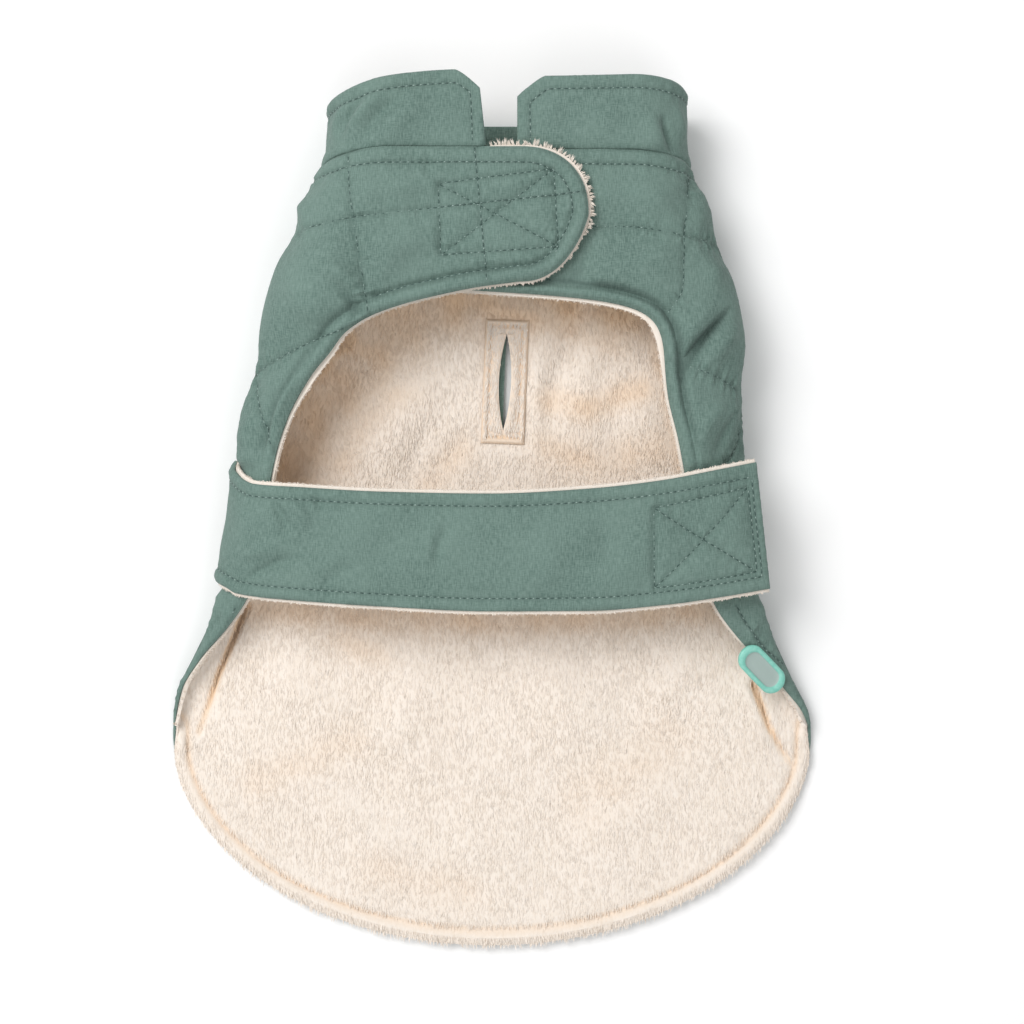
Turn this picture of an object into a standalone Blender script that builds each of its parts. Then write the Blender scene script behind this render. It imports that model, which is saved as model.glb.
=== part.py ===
"""Quilted winter coat for a small dog, lying on its back panel, chest flap and belly strap closed.

Lengths are in millimetres here, and MM turns them into metres when a mesh is made. X runs across the coat,
Y from the hem to the collar and Z up from the surface that it lies on. The origin is on that surface, below
the middle of the coat.

Every panel is cut flat and then bent. A flat point is (girth, y). Girth is measured across the cloth from
the middle of the back, negative towards -X: along the flat base, round the side, and over the top.
form() bends a flat point, and layer() moves it inwards through the cloth.
"""
import bmesh
import bpy
import numpy as np

MM = 0.001

# Driving sizes
SHELL = 2.2            # woven shell with its wadding
PILE = 2.0             # plush lining
SEAM_GAP = 0.3         # between pieces that touch
NECK_GAP = 0.6         # between the collar and the panels sewn to it
SHELL_SIDE_GAP = 0.5   # between back and front at the side seam
LINING_SIDE_GAP = 0.9
SEAM_ROWS = 20         # places along the side seam that the back and the fronts share
COLLAR_WALL = 3.0
RIM = 1.5              # plush that shows past the shell along a free edge
HALF_LENGTH = 183.0
CORNER_Y = -88.0       # where the side seam ends and the hem begins
NECK_FRONT_Y = 151.4
NECK_BACK_Y = 136.0
NECK_LEVEL = 147.0     # where the sections give the girth that the neck seam is measured by
NECK_LEVEL_SHARE = 0.6 # of the flat base, over which the neck seam stays low
SHARP_EDGE = np.radians(40)

# How many faces each pattern has, across and along
BACK_COLUMNS = 20
BACK_CROWDING = 1.35   # power that crowds the back's columns towards its sides
FRONT_COLUMNS = 7
FRONT_RIBS = (7, 6)    # along the chest edge, and round the flap's end
COLLAR_GRID = (44, 4)
COLLAR_CROWDING = 0.012
FACING_GRID = (2, 4)
STRAP_GRID = (30, 4)
STRAP_FINE = 120       # rows of the finer strap that the hook patch is measured on
STRAP_SPACING = (0.42, 0.78)          # shares of the strap's rows up to its two key rows below
STRAP_SPACED_AT = (5, 9)              # the key row at X = -78 and the one at X = 72
PATCH_GRID = (4, 3)
STRAP_PATCH_POINTS = (6, 4)
SIDE_PATCH_GRID = (6, 4)

# The cloth is pinched where the turned-up side runs out towards the hem
PINCH = 0.42
PINCH_DOWN = (-42.0, 34.0)            # y where it starts, and over how much y it grows
PINCH_ACROSS = (14.0, 16.0)           # girth inside the crease where it starts, and over how much it grows

# Sections across the coat, one row for each height y. The base is flat out to the crease, the cloth turns up
# to its widest line (side) and over to the top (edge). A turn is the direction of the cloth in degrees:
# 0 outwards, 90 straight up, 180 back towards the middle.
COLUMNS = ("y", "crease", "side_x", "side_z", "side_turn", "edge_x", "edge_z", "edge_turn")
LEFT_SECTIONS = (
    (-120, 134.0, 139.0, 0.1, 1, 141.0, 0.2, 2),
    (-100, 130.0, 136.6, 1.6, 24, 138.1, 2.3, 30),
    (-88, 127.0, 136.2, 3.6, 62, 136.6, 5.2, 90),
    (-73, 119.0, 133.4, 6.5, 82, 132.8, 10.0, 118),
    (-59, 111.0, 126.6, 10.0, 87, 123.6, 16.0, 146),
    (-47, 104.0, 120.4, 13.5, 90, 111.8, 23.0, 158),
    (-33, 98.0, 114.6, 16.5, 90, 101.5, 31.5, 160),
    (-18, 93.0, 109.6, 18.0, 90, 96.8, 35.5, 158),
    (0, 89.0, 106.2, 19.0, 90, 94.4, 37.5, 157),
    (28, 85.0, 104.4, 20.5, 90, 88.8, 40.0, 162),
    (42, 82.0, 103.5, 21.5, 90, 83.6, 41.5, 168),
    (58, 78.0, 99.6, 22.5, 90, 74.4, 44.0, 174),
    (74, 73.0, 95.4, 24.0, 90, 62.0, 48.5, 180),
    (88, 69.0, 92.4, 25.0, 90, 61.0, 52.0, 180),
    (103, 65.0, 88.3, 25.5, 90, 61.0, 53.3, 180),
    (117, 59.0, 82.2, 26.0, 90, 57.0, 53.3, 180),
    (134, 53.0, 76.6, 26.0, 90, 50.0, 53.3, 180),
    (152, 45.0, 68.2, 26.0, 90, 43.0, 53.3, 180),
)
RIGHT_SECTIONS = (
    (-120, 134.0, 139.0, 0.1, 1, 141.0, 0.2, 2),
    (-100, 130.0, 136.8, 1.8, 26, 138.2, 2.6, 32),
    (-90, 128.0, 136.7, 3.5, 66, 136.9, 5.8, 98),
    (-83, 124.0, 135.2, 5.4, 82, 133.4, 9.0, 138),
    (-73, 117.0, 130.2, 8.0, 88, 125.2, 13.0, 156),
    (-62, 110.0, 124.8, 11.0, 90, 114.8, 18.5, 163),
    (-50, 103.0, 119.2, 14.0, 90, 103.3, 25.0, 165),
    (-36, 97.0, 113.8, 16.5, 90, 93.5, 31.0, 165),
    (-18, 93.0, 109.8, 18.0, 90, 88.0, 36.0, 165),
    (0, 90.0, 107.2, 19.0, 90, 84.5, 38.0, 166),
    (16, 88.0, 106.0, 20.0, 90, 81.0, 39.5, 168),
    (33, 86.0, 105.6, 21.0, 90, 77.6, 41.5, 170),
    (50, 84.0, 104.9, 22.0, 90, 73.2, 43.5, 174),
    (71, 81.0, 104.0, 23.0, 90, 71.0, 45.2, 180),
    (87, 78.0, 102.0, 23.0, 90, 70.0, 46.0, 180),
    (100, 75.0, 99.2, 23.0, 90, 68.0, 46.0, 180),
    (114, 71.0, 94.9, 23.0, 90, 66.0, 46.0, 180),
    (127, 67.0, 90.5, 23.0, 90, 64.0, 46.0, 180),
    (139, 63.0, 86.0, 23.0, 90, 62.0, 46.0, 180),
    (152, 59.0, 82.0, 23.0, 90, 58.0, 46.0, 180),
)

# The chest edge of each front, from the arm curve to the flap: places in plan
CHEST_COLUMNS = ("x", "y")
LEFT_CHEST_EDGE = ((-62.0, 74.0), (-50.7, 81.5), (-36.0, 87.0), (-20.0, 91.0), (-5.0, 94.0), (12.0, 96.2))
RIGHT_CHEST_EDGE = ((71.0, 71.0), (68.8, 78.6), (62.0, 84.6), (49.0, 88.4), (28.0, 91.0), (-8.0, 93.5))
FRONTS = {
    "left": {"sections": LEFT_SECTIONS, "sign": -1, "chest_edge": LEFT_CHEST_EDGE,
             "flap_reach": 28.0, "flap_power": (0.87, 1.6)},
    "right": {"sections": RIGHT_SECTIONS, "sign": 1, "chest_edge": RIGHT_CHEST_EDGE,
              "flap_reach": 22.0, "flap_power": (0.67, 0.67)},
}
FLAP_LAST_RIB = np.radians(86.0)      # how far round its end the flap's ribs go

# Collar
COLLAR_ENDS = (-2.2, 11.3)            # plan x of the two front ends
COLLAR_HEIGHT = HALF_LENGTH - NECK_FRONT_Y
COLLAR_CORNERS = ((11.5, 8.0), (11.5, 8.5))        # how far each end's cut-off corner reaches, along and down
COLLAR_CORNER_POWER = 1.25
COLLAR_DIP = (66.0, 30.0, 5.8)        # top edge's dip: distance from the left end, half width, depth

# Leash slit and its facing, on the middle of the back
SLIT_CENTRE = (5.8, 58.0)
SLIT_LENGTH = 41.3
SLIT_WIDTH = 6.4
SLIT_LEAN = np.radians(-2.3)
SLIT_STEPS = 12
SLIT_CUTTER_Z = (-5.0, 12.0)
FACING_SIZE = (18.6, 53.0)
FACING_THICK = 0.9

# Belly strap: it starts at the left side seam, lies on the left front, and crosses to the right
STRAP_WIDTH = 50.0
STRAP_SHELL = 1.8
STRAP_PILE = 1.6
STRAP_LIFT = 0.9                      # clearance over the coat that it lies on
STRAP_ON_COAT = (-0.12, 0.15, 0.4, 0.62, 0.82)     # shares of the way from side seam to free edge
STRAP_ON_COAT_Y = ((24.0, -27.0), (21.0, -27.5), (18.0, -28.5), (15.5, -29.5), (14.0, -31.0))
STRAP_COLUMNS = ("x", "upper_y", "upper_z", "lower_y", "lower_z")
STRAP_ROWS = (
    (-78.0, 12.6, 45.6, -34.2, 44.4),
    (-45.0, 10.8, 46.6, -36.4, 46.0),
    (0.0, 10.0, 47.0, -38.4, 46.4),
    (40.0, 12.0, 47.2, -38.2, 46.4),
    (72.0, 15.6, 46.8, -35.8, 44.6),
    (94.0, 19.4, 45.0, -32.6, 41.6),
    (113.0, 23.0, 40.6, -29.4, 37.6),
)
STRAP_END_LEAN = (3.0, 60.0, 50.0)    # the end's lower corner reaches out: how far, from which X, over how much

# Hook and loop patches: plan x range, plan y range
PATCH_THICK = 0.9
FLAP_PATCH = ((-21.0, 26.0), (109.0, 141.0))
CHEST_PATCH = ((-24.0, 30.0), (105.0, 144.0))
STRAP_PATCH_LENGTH = 42.0
STRAP_PATCH_MARGIN = 7.0
SIDE_PATCH_GIRTH = (3.0, 27.0)        # distance from the free edge, down over the side
SIDE_PATCH_Y = (-16.0, 17.0)

# Rubber tag at the right front's free edge
TAG_SIZE = (26.0, 12.0, 2.4)
TAG_Y = -62.0
TAG_OVERHANG = 2.0
TAG_BEVEL = 0.6
TAG_END_POINTS = 9

# Finishes: colour, roughness
FINISHES = {
    "shell": ((0.155, 0.235, 0.205), 0.85),
    "plush": ((0.80, 0.68, 0.57), 0.95),
    "hook_and_loop": ((0.10, 0.15, 0.13), 0.9),
    "rubber": ((0.36, 0.70, 0.60), 0.5),
}


def smooth_step(value):
    """Rise from 0 to 1 with level ends: 3t^2 - 2t^3."""
    t = np.clip(value, 0.0, 1.0)
    return t * t * (3.0 - 2.0 * t)


def through_rows(places, values, wanted):
    """A curve through the rows that never swings past them: cubics whose slopes are weighted harmonic means."""
    places = np.asarray(places, dtype=float)
    values = np.asarray(values, dtype=float)
    step = np.diff(places)
    rise = np.diff(values) / step
    same_way = rise[:-1] * rise[1:] > 0.0
    before = np.where(same_way, rise[:-1], 1.0)
    after = np.where(same_way, rise[1:], 1.0)
    near = 2.0 * step[1:] + step[:-1]
    far = step[1:] + 2.0 * step[:-1]
    slope = np.zeros_like(values)
    slope[1:-1] = np.where(same_way, (near + far) / (near / before + far / after), 0.0)
    slope[0] = rise[0]
    slope[-1] = rise[-1]
    wanted = np.clip(wanted, places[0], places[-1])
    row = np.clip(np.searchsorted(places, wanted) - 1, 0, len(step) - 1)
    t = (wanted - places[row]) / step[row]
    start = values[row] * (1 + 2 * t) * (1 - t) ** 2 + slope[row] * step[row] * t * (1 - t) ** 2
    finish = values[row + 1] * t * t * (3 - 2 * t) - slope[row + 1] * step[row] * t * t * (1 - t)
    return start + finish


def section(side, y):
    """Every column of one side's section table at height y, with the lengths of its two arcs of cloth."""
    rows = np.array(FRONTS[side]["sections"], dtype=float)
    here = {name: through_rows(rows[:, 0], rows[:, i], y) for i, name in enumerate(COLUMNS) if i}
    here["side_turn"] = np.radians(here["side_turn"])
    here["edge_turn"] = np.radians(here["edge_turn"])
    here["lower_chord"] = np.hypot(here["side_x"] - here["crease"], here["side_z"])
    here["upper_chord"] = np.hypot(here["side_x"] - here["edge_x"], here["edge_z"] - here["side_z"])
    here["upper_turn"] = here["edge_turn"] - here["side_turn"]
    here["seam"] = here["crease"] + arc_length(here["lower_chord"], here["side_turn"])
    here["edge"] = here["seam"] + arc_length(here["upper_chord"], here["upper_turn"])
    return here


def arc_length(chord, turn):
    """Length of a round arc from its chord and how far it turns."""
    half = np.maximum(turn, 1e-4) / 2.0
    return chord * half / np.sin(half)


def arc_point(start, finish, start_turn, finish_turn, share):
    """A point along a round arc: a cubic curve whose two handles are chord / (3 cos^2(turn / 4))."""
    chord = np.hypot(finish[0] - start[0], finish[1] - start[1])
    handle = chord / (3.0 * np.cos((finish_turn - start_turn) / 4.0) ** 2)
    weights = ((1 - share) ** 3, 3 * share * (1 - share) ** 2, 3 * share ** 2 * (1 - share), share ** 3)
    lead = (start[0] + handle * np.cos(start_turn), start[1] + handle * np.sin(start_turn))
    follow = (finish[0] - handle * np.cos(finish_turn), finish[1] - handle * np.sin(finish_turn))
    corners = (start, lead, follow, finish)
    return [sum(w * c[axis] for w, c in zip(weights, corners)) for axis in (0, 1)]


def half_form(side, girth, y):
    """Bend one side: flat base, lower arc to the widest line, upper arc to the top, then straight on."""
    here = section(side, y)
    level = np.zeros_like(girth)
    lower = np.clip((girth - here["crease"]) / (here["seam"] - here["crease"]), 0.0, 1.0)
    upper = np.clip((girth - here["seam"]) / (here["edge"] - here["seam"]), 0.0, 1.0)
    run = np.maximum(girth - here["edge"], 0.0)
    crease = (here["crease"], level)
    widest = (here["side_x"], here["side_z"])
    top = (here["edge_x"], here["edge_z"])
    low_x, low_z = arc_point(crease, widest, level, here["side_turn"], lower)
    top_x, top_z = arc_point(widest, top, here["side_turn"], here["edge_turn"], upper)
    on_top = girth > here["seam"]
    out = np.where(on_top, top_x + run * np.cos(here["edge_turn"]), low_x)
    up = np.where(on_top, top_z + run * np.sin(here["edge_turn"]), low_z)
    out = np.where(girth < here["crease"], girth, out)
    return FRONTS[side]["sign"] * out, np.asarray(y, dtype=float) + level, up


def form(girth, y):
    """Bend flat points into the coat's outer face."""
    girth, y = np.broadcast_arrays(np.asarray(girth, dtype=float), np.asarray(y, dtype=float))
    left = half_form("left", -girth, y)
    right = half_form("right", girth, y)
    return np.stack([np.where(girth < 0.0, a, b) for a, b in zip(left, right)], axis=-1)


def unit(vectors):
    return vectors / np.maximum(np.linalg.norm(vectors, axis=-1, keepdims=True), 1e-9)


def inward(girth, y, reach=0.4):
    """Direction into the coat: the cross product of the surface's slopes across and along it."""
    across = form(girth + reach, y) - form(girth - reach, y)
    along = form(girth, y + reach) - form(girth, y - reach)
    return unit(np.cross(across, along))


def thinning(girth, y):
    """Share of the full thickness: the cloth is pinched where the turned-up side runs out towards the hem."""
    low_down = smooth_step((PINCH_DOWN[0] - y) / PINCH_DOWN[1])
    crease = np.where(girth < 0, section("left", y)["crease"], section("right", y)["crease"])
    turned_up = smooth_step((np.abs(girth) - crease + PINCH_ACROSS[0]) / PINCH_ACROSS[1])
    return 1.0 - PINCH * low_down * turned_up


def layer(girth, y, depth):
    """Flat points bent and moved inwards by a depth, or outwards where it is negative."""
    gap = np.where(depth > SHELL + SEAM_GAP / 2, SEAM_GAP, 0.0)
    amount = np.where(depth > 0.0, (depth - gap) * thinning(girth, y) + gap, depth)
    return form(girth, y) + inward(girth, y) * amount[..., None]


def top_girth(side, x, y):
    """Girth of a place on the flat top, from its plan x."""
    here = section(side, y)
    return FRONTS[side]["sign"] * (here["edge"] + here["edge_x"] - FRONTS[side]["sign"] * x)


def neck_y(girth):
    """Height of the neck seam: low at the back, rising round the sides to the level front."""
    left = section("left", np.full_like(girth, NECK_LEVEL))
    right = section("right", np.full_like(girth, NECK_LEVEL))
    crease = np.where(girth < 0, left["crease"], right["crease"])
    edge = np.where(girth < 0, left["edge"], right["edge"])
    level = NECK_LEVEL_SHARE * crease
    rise = smooth_step((np.abs(girth) - level) / (edge - level))
    return NECK_BACK_Y + (NECK_FRONT_Y - NECK_BACK_Y) * rise


def neck_crossing(side):
    """Girth and height where the side seam meets the neck seam, found by repeated substitution."""
    y = np.array(NECK_LEVEL)
    for _ in range(12):
        girth = FRONTS[side]["sign"] * section(side, y)["seam"]
        y = neck_y(girth)
    return float(girth), float(y)


def seam_heights(side):
    """Heights of the side seam's shared places, from the hem corner to the neck."""
    return np.linspace(CORNER_Y, neck_crossing(side)[1] - NECK_GAP / 2, SEAM_ROWS + 1)


def back_pattern(columns, side_gap, rim):
    """The back, flat: a patch blended between the neck seam, the hem's half ellipse and two side seams.

    rim moves the hem outwards. The columns crowd towards the sides, where the cloth turns up.
    """
    across = np.linspace(-1.0, 1.0, columns + 1)
    across = np.sign(across) * (1.0 - (1.0 - np.abs(across)) ** BACK_CROWDING)
    down = np.linspace(0.0, 1.0, SEAM_ROWS + 1)
    edges = {}
    for side in ("left", "right"):
        sign = FRONTS[side]["sign"]
        y = seam_heights(side)[::-1]
        edges[side] = np.stack([sign * (section(side, y)["seam"] - side_gap / 2), y], axis=-1)
    corner_left = edges["left"][-1]
    corner_right = edges["right"][-1]
    angle = across * np.pi / 2
    reach = np.where(across < 0, -corner_left[0], corner_right[0])
    drop = HALF_LENGTH + CORNER_Y - RIM
    hem = np.stack([reach * np.sin(angle), CORNER_Y - drop * np.cos(angle)], axis=-1)
    edges["left"][-1] = hem[0]
    edges["right"][-1] = hem[-1]
    width = np.where(across < 0, -edges["left"][0, 0], edges["right"][0, 0])
    neck = np.stack([across * width, neck_y(across * width) - NECK_GAP / 2], axis=-1)
    share = ((across + 1.0) / 2.0)[None, :, None]
    fall = down[:, None, None]
    up_and_down = (1 - fall) * neck[None] + fall * hem[None]
    side_to_side = (1 - share) * edges["left"][:, None] + share * edges["right"][:, None]
    top_corners = (1 - share) * neck[0] + share * neck[-1]
    low_corners = (1 - share) * hem[0] + share * hem[-1]
    flat = up_and_down + side_to_side - (1 - fall) * top_corners - fall * low_corners
    flat[-1] = moved_sideways(flat[-1], rim * smooth_step(4.0 * np.cos(angle)))
    return flat


def moved_sideways(path, distance):
    """A flat path moved square to itself, to its right, by a distance."""
    run = unit(np.gradient(path, axis=0))
    return path + np.stack([run[:, 1], -run[:, 0]], axis=-1) * np.reshape(distance, (-1, 1))


def front_pattern(side, ribs, columns, side_gap, rim):
    """A front, flat: ribs from the side and neck seams to the free edge, ending in the flap's round end.

    ribs gives how many there are along the chest and round the flap's end. rim moves the free edge out.
    The flap's end is two quarter curves: powers of the cosine and sine of one angle.
    """
    maker = FRONTS[side]
    sign = maker["sign"]
    chest_ribs, flap_ribs = ribs
    chest = np.array(maker["chest_edge"])
    outer_y = seam_heights(side)
    inner_y = np.linspace(CORNER_Y, chest[0, 1], SEAM_ROWS + 1)
    outer = np.stack([sign * (section(side, outer_y)["seam"] + side_gap / 2), outer_y], axis=-1)
    inner = np.stack([sign * section(side, inner_y)["edge"], inner_y], axis=-1)

    step = np.linspace(0.0, 1.0, chest_ribs + 1)[1:]
    flap_x = chest[-1, 0]
    neck_girth = outer[-1, 0] + (top_girth(side, flap_x, NECK_FRONT_Y) - outer[-1, 0]) * step
    outer = np.vstack([outer, np.stack([neck_girth, neck_y(neck_girth) - NECK_GAP / 2], axis=-1)])
    length = np.concatenate([[0.0], np.cumsum(np.hypot(*np.diff(chest, axis=0).T))])
    chest_x = through_rows(length, chest[:, 0], step * length[-1])
    chest_y = through_rows(length, chest[:, 1], step * length[-1])
    inner = np.vstack([inner, np.stack([top_girth(side, chest_x, chest_y), chest_y], axis=-1)])

    angle = np.linspace(0.0, FLAP_LAST_RIB, flap_ribs + 1)[1:]
    top_y = NECK_FRONT_Y - NECK_GAP / 2
    middle = (top_y + chest[-1, 1]) / 2.0
    tall = (top_y - chest[-1, 1]) / 2.0
    upper_power, lower_power = maker["flap_power"]
    x = flap_x - sign * maker["flap_reach"] * np.sin(angle) ** upper_power
    upper = middle + tall * np.cos(angle) ** upper_power
    lower = middle - tall * np.cos(angle) ** lower_power
    outer = np.vstack([outer, np.stack([top_girth(side, x, upper), upper], axis=-1)])
    inner = np.vstack([inner, np.stack([top_girth(side, x, lower), lower], axis=-1)])
    across = np.linspace(0.0, 1.0, columns + 1)[None, :, None]
    flat = outer[:, None] * (1 - across) + inner[:, None] * across
    count = len(outer)
    edge = np.vstack([inner, outer[:-flap_ribs - 2:-1]])
    edge = moved_sideways(edge, sign * rim)
    flat[:, -1] = edge[:count]
    flat[-flap_ribs:, 0] = edge[count:count + flap_ribs][::-1]
    return flat


def collar_pattern(columns, rows):
    """The collar, flat: from its left front end round the back to the right one, with cut-off top corners."""
    across = np.linspace(0.0, 1.0, columns + 1)
    across = across + COLLAR_CROWDING * np.sin(2 * np.pi * across)
    first = top_girth("left", COLLAR_ENDS[0], np.array(NECK_FRONT_Y))
    last = top_girth("right", COLLAR_ENDS[1], np.array(NECK_FRONT_Y))
    girth = first + (last - first) * across
    bottom = neck_y(girth) + NECK_GAP / 2
    fall = np.zeros_like(girth)
    for distance, (reach, drop) in zip((girth - first, last - girth), COLLAR_CORNERS):
        fall = fall + drop * np.clip(1.0 - distance / reach, 0.0, 1.0) ** COLLAR_CORNER_POWER
    place, half_width, depth = COLLAR_DIP
    fall = fall + depth * np.exp(-((girth - first - place) / half_width) ** 2)
    top = neck_y(girth) + COLLAR_HEIGHT - fall
    up = np.linspace(0.0, 1.0, rows + 1)[:, None]
    return np.stack([np.broadcast_to(girth, (rows + 1, columns + 1)), bottom + (top - bottom) * up], axis=-1)


def strap_face(rows, columns):
    """The strap's outer face: key rows on the left front, moved out, then the table's rows across the coat."""
    share = np.linspace(0.0, 1.0, columns + 1)
    reach, start, span = STRAP_END_LEAN
    keys = []
    lift = STRAP_LIFT + STRAP_PILE + SEAM_GAP + STRAP_SHELL
    for way, (upper_y, lower_y) in zip(STRAP_ON_COAT, STRAP_ON_COAT_Y):
        y = upper_y + (lower_y - upper_y) * share
        here = section("left", y)
        girth = -(here["seam"] + way * (here["edge"] - here["seam"]))
        keys.append(layer(girth, y, np.full_like(y, -lift)))
    for x, upper_y, upper_z, lower_y, lower_z in STRAP_ROWS:
        y = upper_y + (lower_y - upper_y) * share
        z = upper_z + (lower_z - upper_z) * share
        lean = reach * smooth_step((x - start) / span)
        keys.append(np.stack([x + lean * (2 * share - 1), y, z], axis=-1))
    keys = np.array(keys)
    middle = keys[:, columns // 2]
    length = np.concatenate([[0.0], np.cumsum(np.linalg.norm(np.diff(middle, axis=0), axis=-1))])
    near, far = STRAP_SPACED_AT
    wanted = np.interp(np.linspace(0.0, 1.0, rows + 1), (0.0, *STRAP_SPACING, 1.0),
                       (0.0, length[near], length[far], length[-1]))
    face = np.empty((rows + 1, columns + 1, 3))
    for column in range(columns + 1):
        for axis in range(3):
            face[:, column, axis] = through_rows(length, keys[:, column, axis], wanted)
    return face


def face_inward(face):
    """Direction into a face given as a grid of points."""
    return unit(np.cross(np.gradient(face, axis=0), np.gradient(face, axis=1)))


def wall(name, outer, inner, finish):
    """A closed wall between two grids of points that match, all triangles, as one named object.

    Each rim quad is split from its lower outer corner, so the walls on both sides of a seam are split alike.
    """
    rows, columns = outer.shape[:2]
    count = rows * columns
    index = np.arange(count).reshape(rows, columns)
    a, b, c, d = (index[:-1, :-1].ravel(), index[:-1, 1:].ravel(), index[1:, 1:].ravel(), index[1:, :-1].ravel())
    front = np.vstack([np.stack([a, b, c], 1), np.stack([a, c, d], 1)])
    loop = np.concatenate([index[0, :-1], index[:-1, -1], index[-1, :0:-1], index[:0:-1, 0]])
    ahead = np.roll(loop, -1)
    y = outer.reshape(-1, 3)[:, 1]
    rising = y[loop] < y[ahead]
    low = np.where(rising, loop, ahead)
    high = np.where(rising, ahead, loop)
    rim = np.vstack([np.stack([low, low + count, high + count], 1), np.stack([low, high + count, high], 1)])
    faces = np.vstack([front, front[:, ::-1] + count, rim])
    points = np.vstack([outer.reshape(-1, 3), inner.reshape(-1, 3)])
    mesh = made_mesh(name, points, faces.tolist())
    mesh.shade_smooth()
    mesh.set_sharp_from_angle(angle=SHARP_EDGE)
    return add(name, mesh, finish)


def made_mesh(name, points, faces):
    """A mesh in metres whose faces all look outwards."""
    mesh = bpy.data.meshes.new(name)
    mesh.from_pydata((points * MM).tolist(), [], faces)
    turned = bmesh.new()
    turned.from_mesh(mesh)
    bmesh.ops.recalc_face_normals(turned, faces=turned.faces)
    turned.to_mesh(mesh)
    turned.free()
    return mesh


def add(name, mesh, finish):
    """Put a mesh in the scene as a named object with its finish, under the coat's empty."""
    piece = bpy.data.objects.new(name, mesh)
    bpy.context.scene.collection.objects.link(piece)
    piece.data.materials.append(material(finish))
    piece.parent = bpy.data.objects["coat"]
    return piece


def material(finish):
    """One Principled material for each finish."""
    found = bpy.data.materials.get(finish)
    if found:
        return found
    colour, roughness = FINISHES[finish]
    made = bpy.data.materials.new(finish)
    made.use_nodes = True
    shader = made.node_tree.nodes["Principled BSDF"]
    shader.inputs["Base Color"].default_value = (*colour, 1.0)
    shader.inputs["Roughness"].default_value = roughness
    shader.inputs["Metallic"].default_value = 0.0
    return made


def panel(name, flat, outer_depth, inner_depth, finish):
    """A bent wall from a flat pattern, between two depths below the coat's outer face."""
    girth = flat[..., 0]
    y = flat[..., 1]
    full = np.ones_like(girth)
    return wall(name, layer(girth, y, outer_depth * full), layer(girth, y, inner_depth * full), finish)


def rectangle(x_range, y_range, side):
    """A flat pattern for a rectangle in plan on one front's level top."""
    columns, rows = PATCH_GRID
    x, y = np.meshgrid(np.linspace(*x_range, columns + 1), np.linspace(*y_range, rows + 1))
    return np.stack([top_girth(side, x, y), y], axis=-1)


def cut(piece, cutter):
    """Take a cutter out of a piece."""
    boolean = piece.modifiers.new("slit", "BOOLEAN")
    boolean.operation = "DIFFERENCE"
    boolean.solver = "EXACT"
    boolean.object = cutter


def beside_slit(across, along):
    """Plan places from distances across and along the leaning slit."""
    x = SLIT_CENTRE[0] + across * np.cos(SLIT_LEAN) - along * np.sin(SLIT_LEAN)
    y = SLIT_CENTRE[1] + across * np.sin(SLIT_LEAN) + along * np.cos(SLIT_LEAN)
    return x, y


def slit_cutter():
    """A tall lens: two arcs that meet in points at the slit's ends."""
    along = np.linspace(-1.0, 1.0, SLIT_STEPS + 1)
    bow = SLIT_WIDTH / 2 * (1.0 - along ** 2)
    outline = np.concatenate([np.stack([bow, along * SLIT_LENGTH / 2], 1)[:-1],
                              np.stack([-bow, along * SLIT_LENGTH / 2], 1)[:0:-1]])
    x, y = beside_slit(*outline.T)
    count = len(outline)
    points = np.vstack([np.column_stack([x, y, np.full(count, z)]) for z in SLIT_CUTTER_Z])
    ring = list(range(count))
    faces = [ring[::-1], [i + count for i in ring]]
    faces += [[i, (i + 1) % count, (i + 1) % count + count, i + count] for i in ring]
    cutter = add("slit_cutter", made_mesh("slit_cutter", points, faces), "shell")
    cutter.hide_render = True
    cutter.display_type = "WIRE"
    return cutter


def make_body():
    """Shell and lining of the back and the two fronts, and the leash slit with its facing."""
    lining_top = SHELL + SEAM_GAP
    lining_bottom = lining_top + PILE
    cutter = slit_cutter()
    shell_cut = back_pattern(BACK_COLUMNS, SHELL_SIDE_GAP, 0.0)
    lining_cut = back_pattern(BACK_COLUMNS, LINING_SIDE_GAP, RIM)
    shell = panel("back_shell", shell_cut, 0.0, SHELL, "shell")
    lining = panel("back_lining", lining_cut, lining_top, lining_bottom, "plush")
    facing = slit_facing(lining_bottom + SEAM_GAP)
    for piece in (shell, lining, facing):
        cut(piece, cutter)
    for side in FRONTS:
        shell_cut = front_pattern(side, FRONT_RIBS, FRONT_COLUMNS, SHELL_SIDE_GAP, 0.0)
        lining_cut = front_pattern(side, FRONT_RIBS, FRONT_COLUMNS, LINING_SIDE_GAP, RIM)
        panel(side + "_front_shell", shell_cut, 0.0, SHELL, "shell")
        panel(side + "_front_lining", lining_cut, lining_top, lining_bottom, "plush")


def slit_facing(floor):
    """The plush rectangle round the slit, lying on the back's lining."""
    width, length = FACING_SIZE
    columns, rows = FACING_GRID
    x, y = beside_slit(*np.meshgrid(np.linspace(-width / 2, width / 2, columns + 1),
                                    np.linspace(-length / 2, length / 2, rows + 1)))
    low, high = (np.stack([x, y, np.full_like(x, z)], axis=-1) for z in (floor, floor + FACING_THICK))
    return wall("slit_facing", low, high, "plush")


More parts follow.
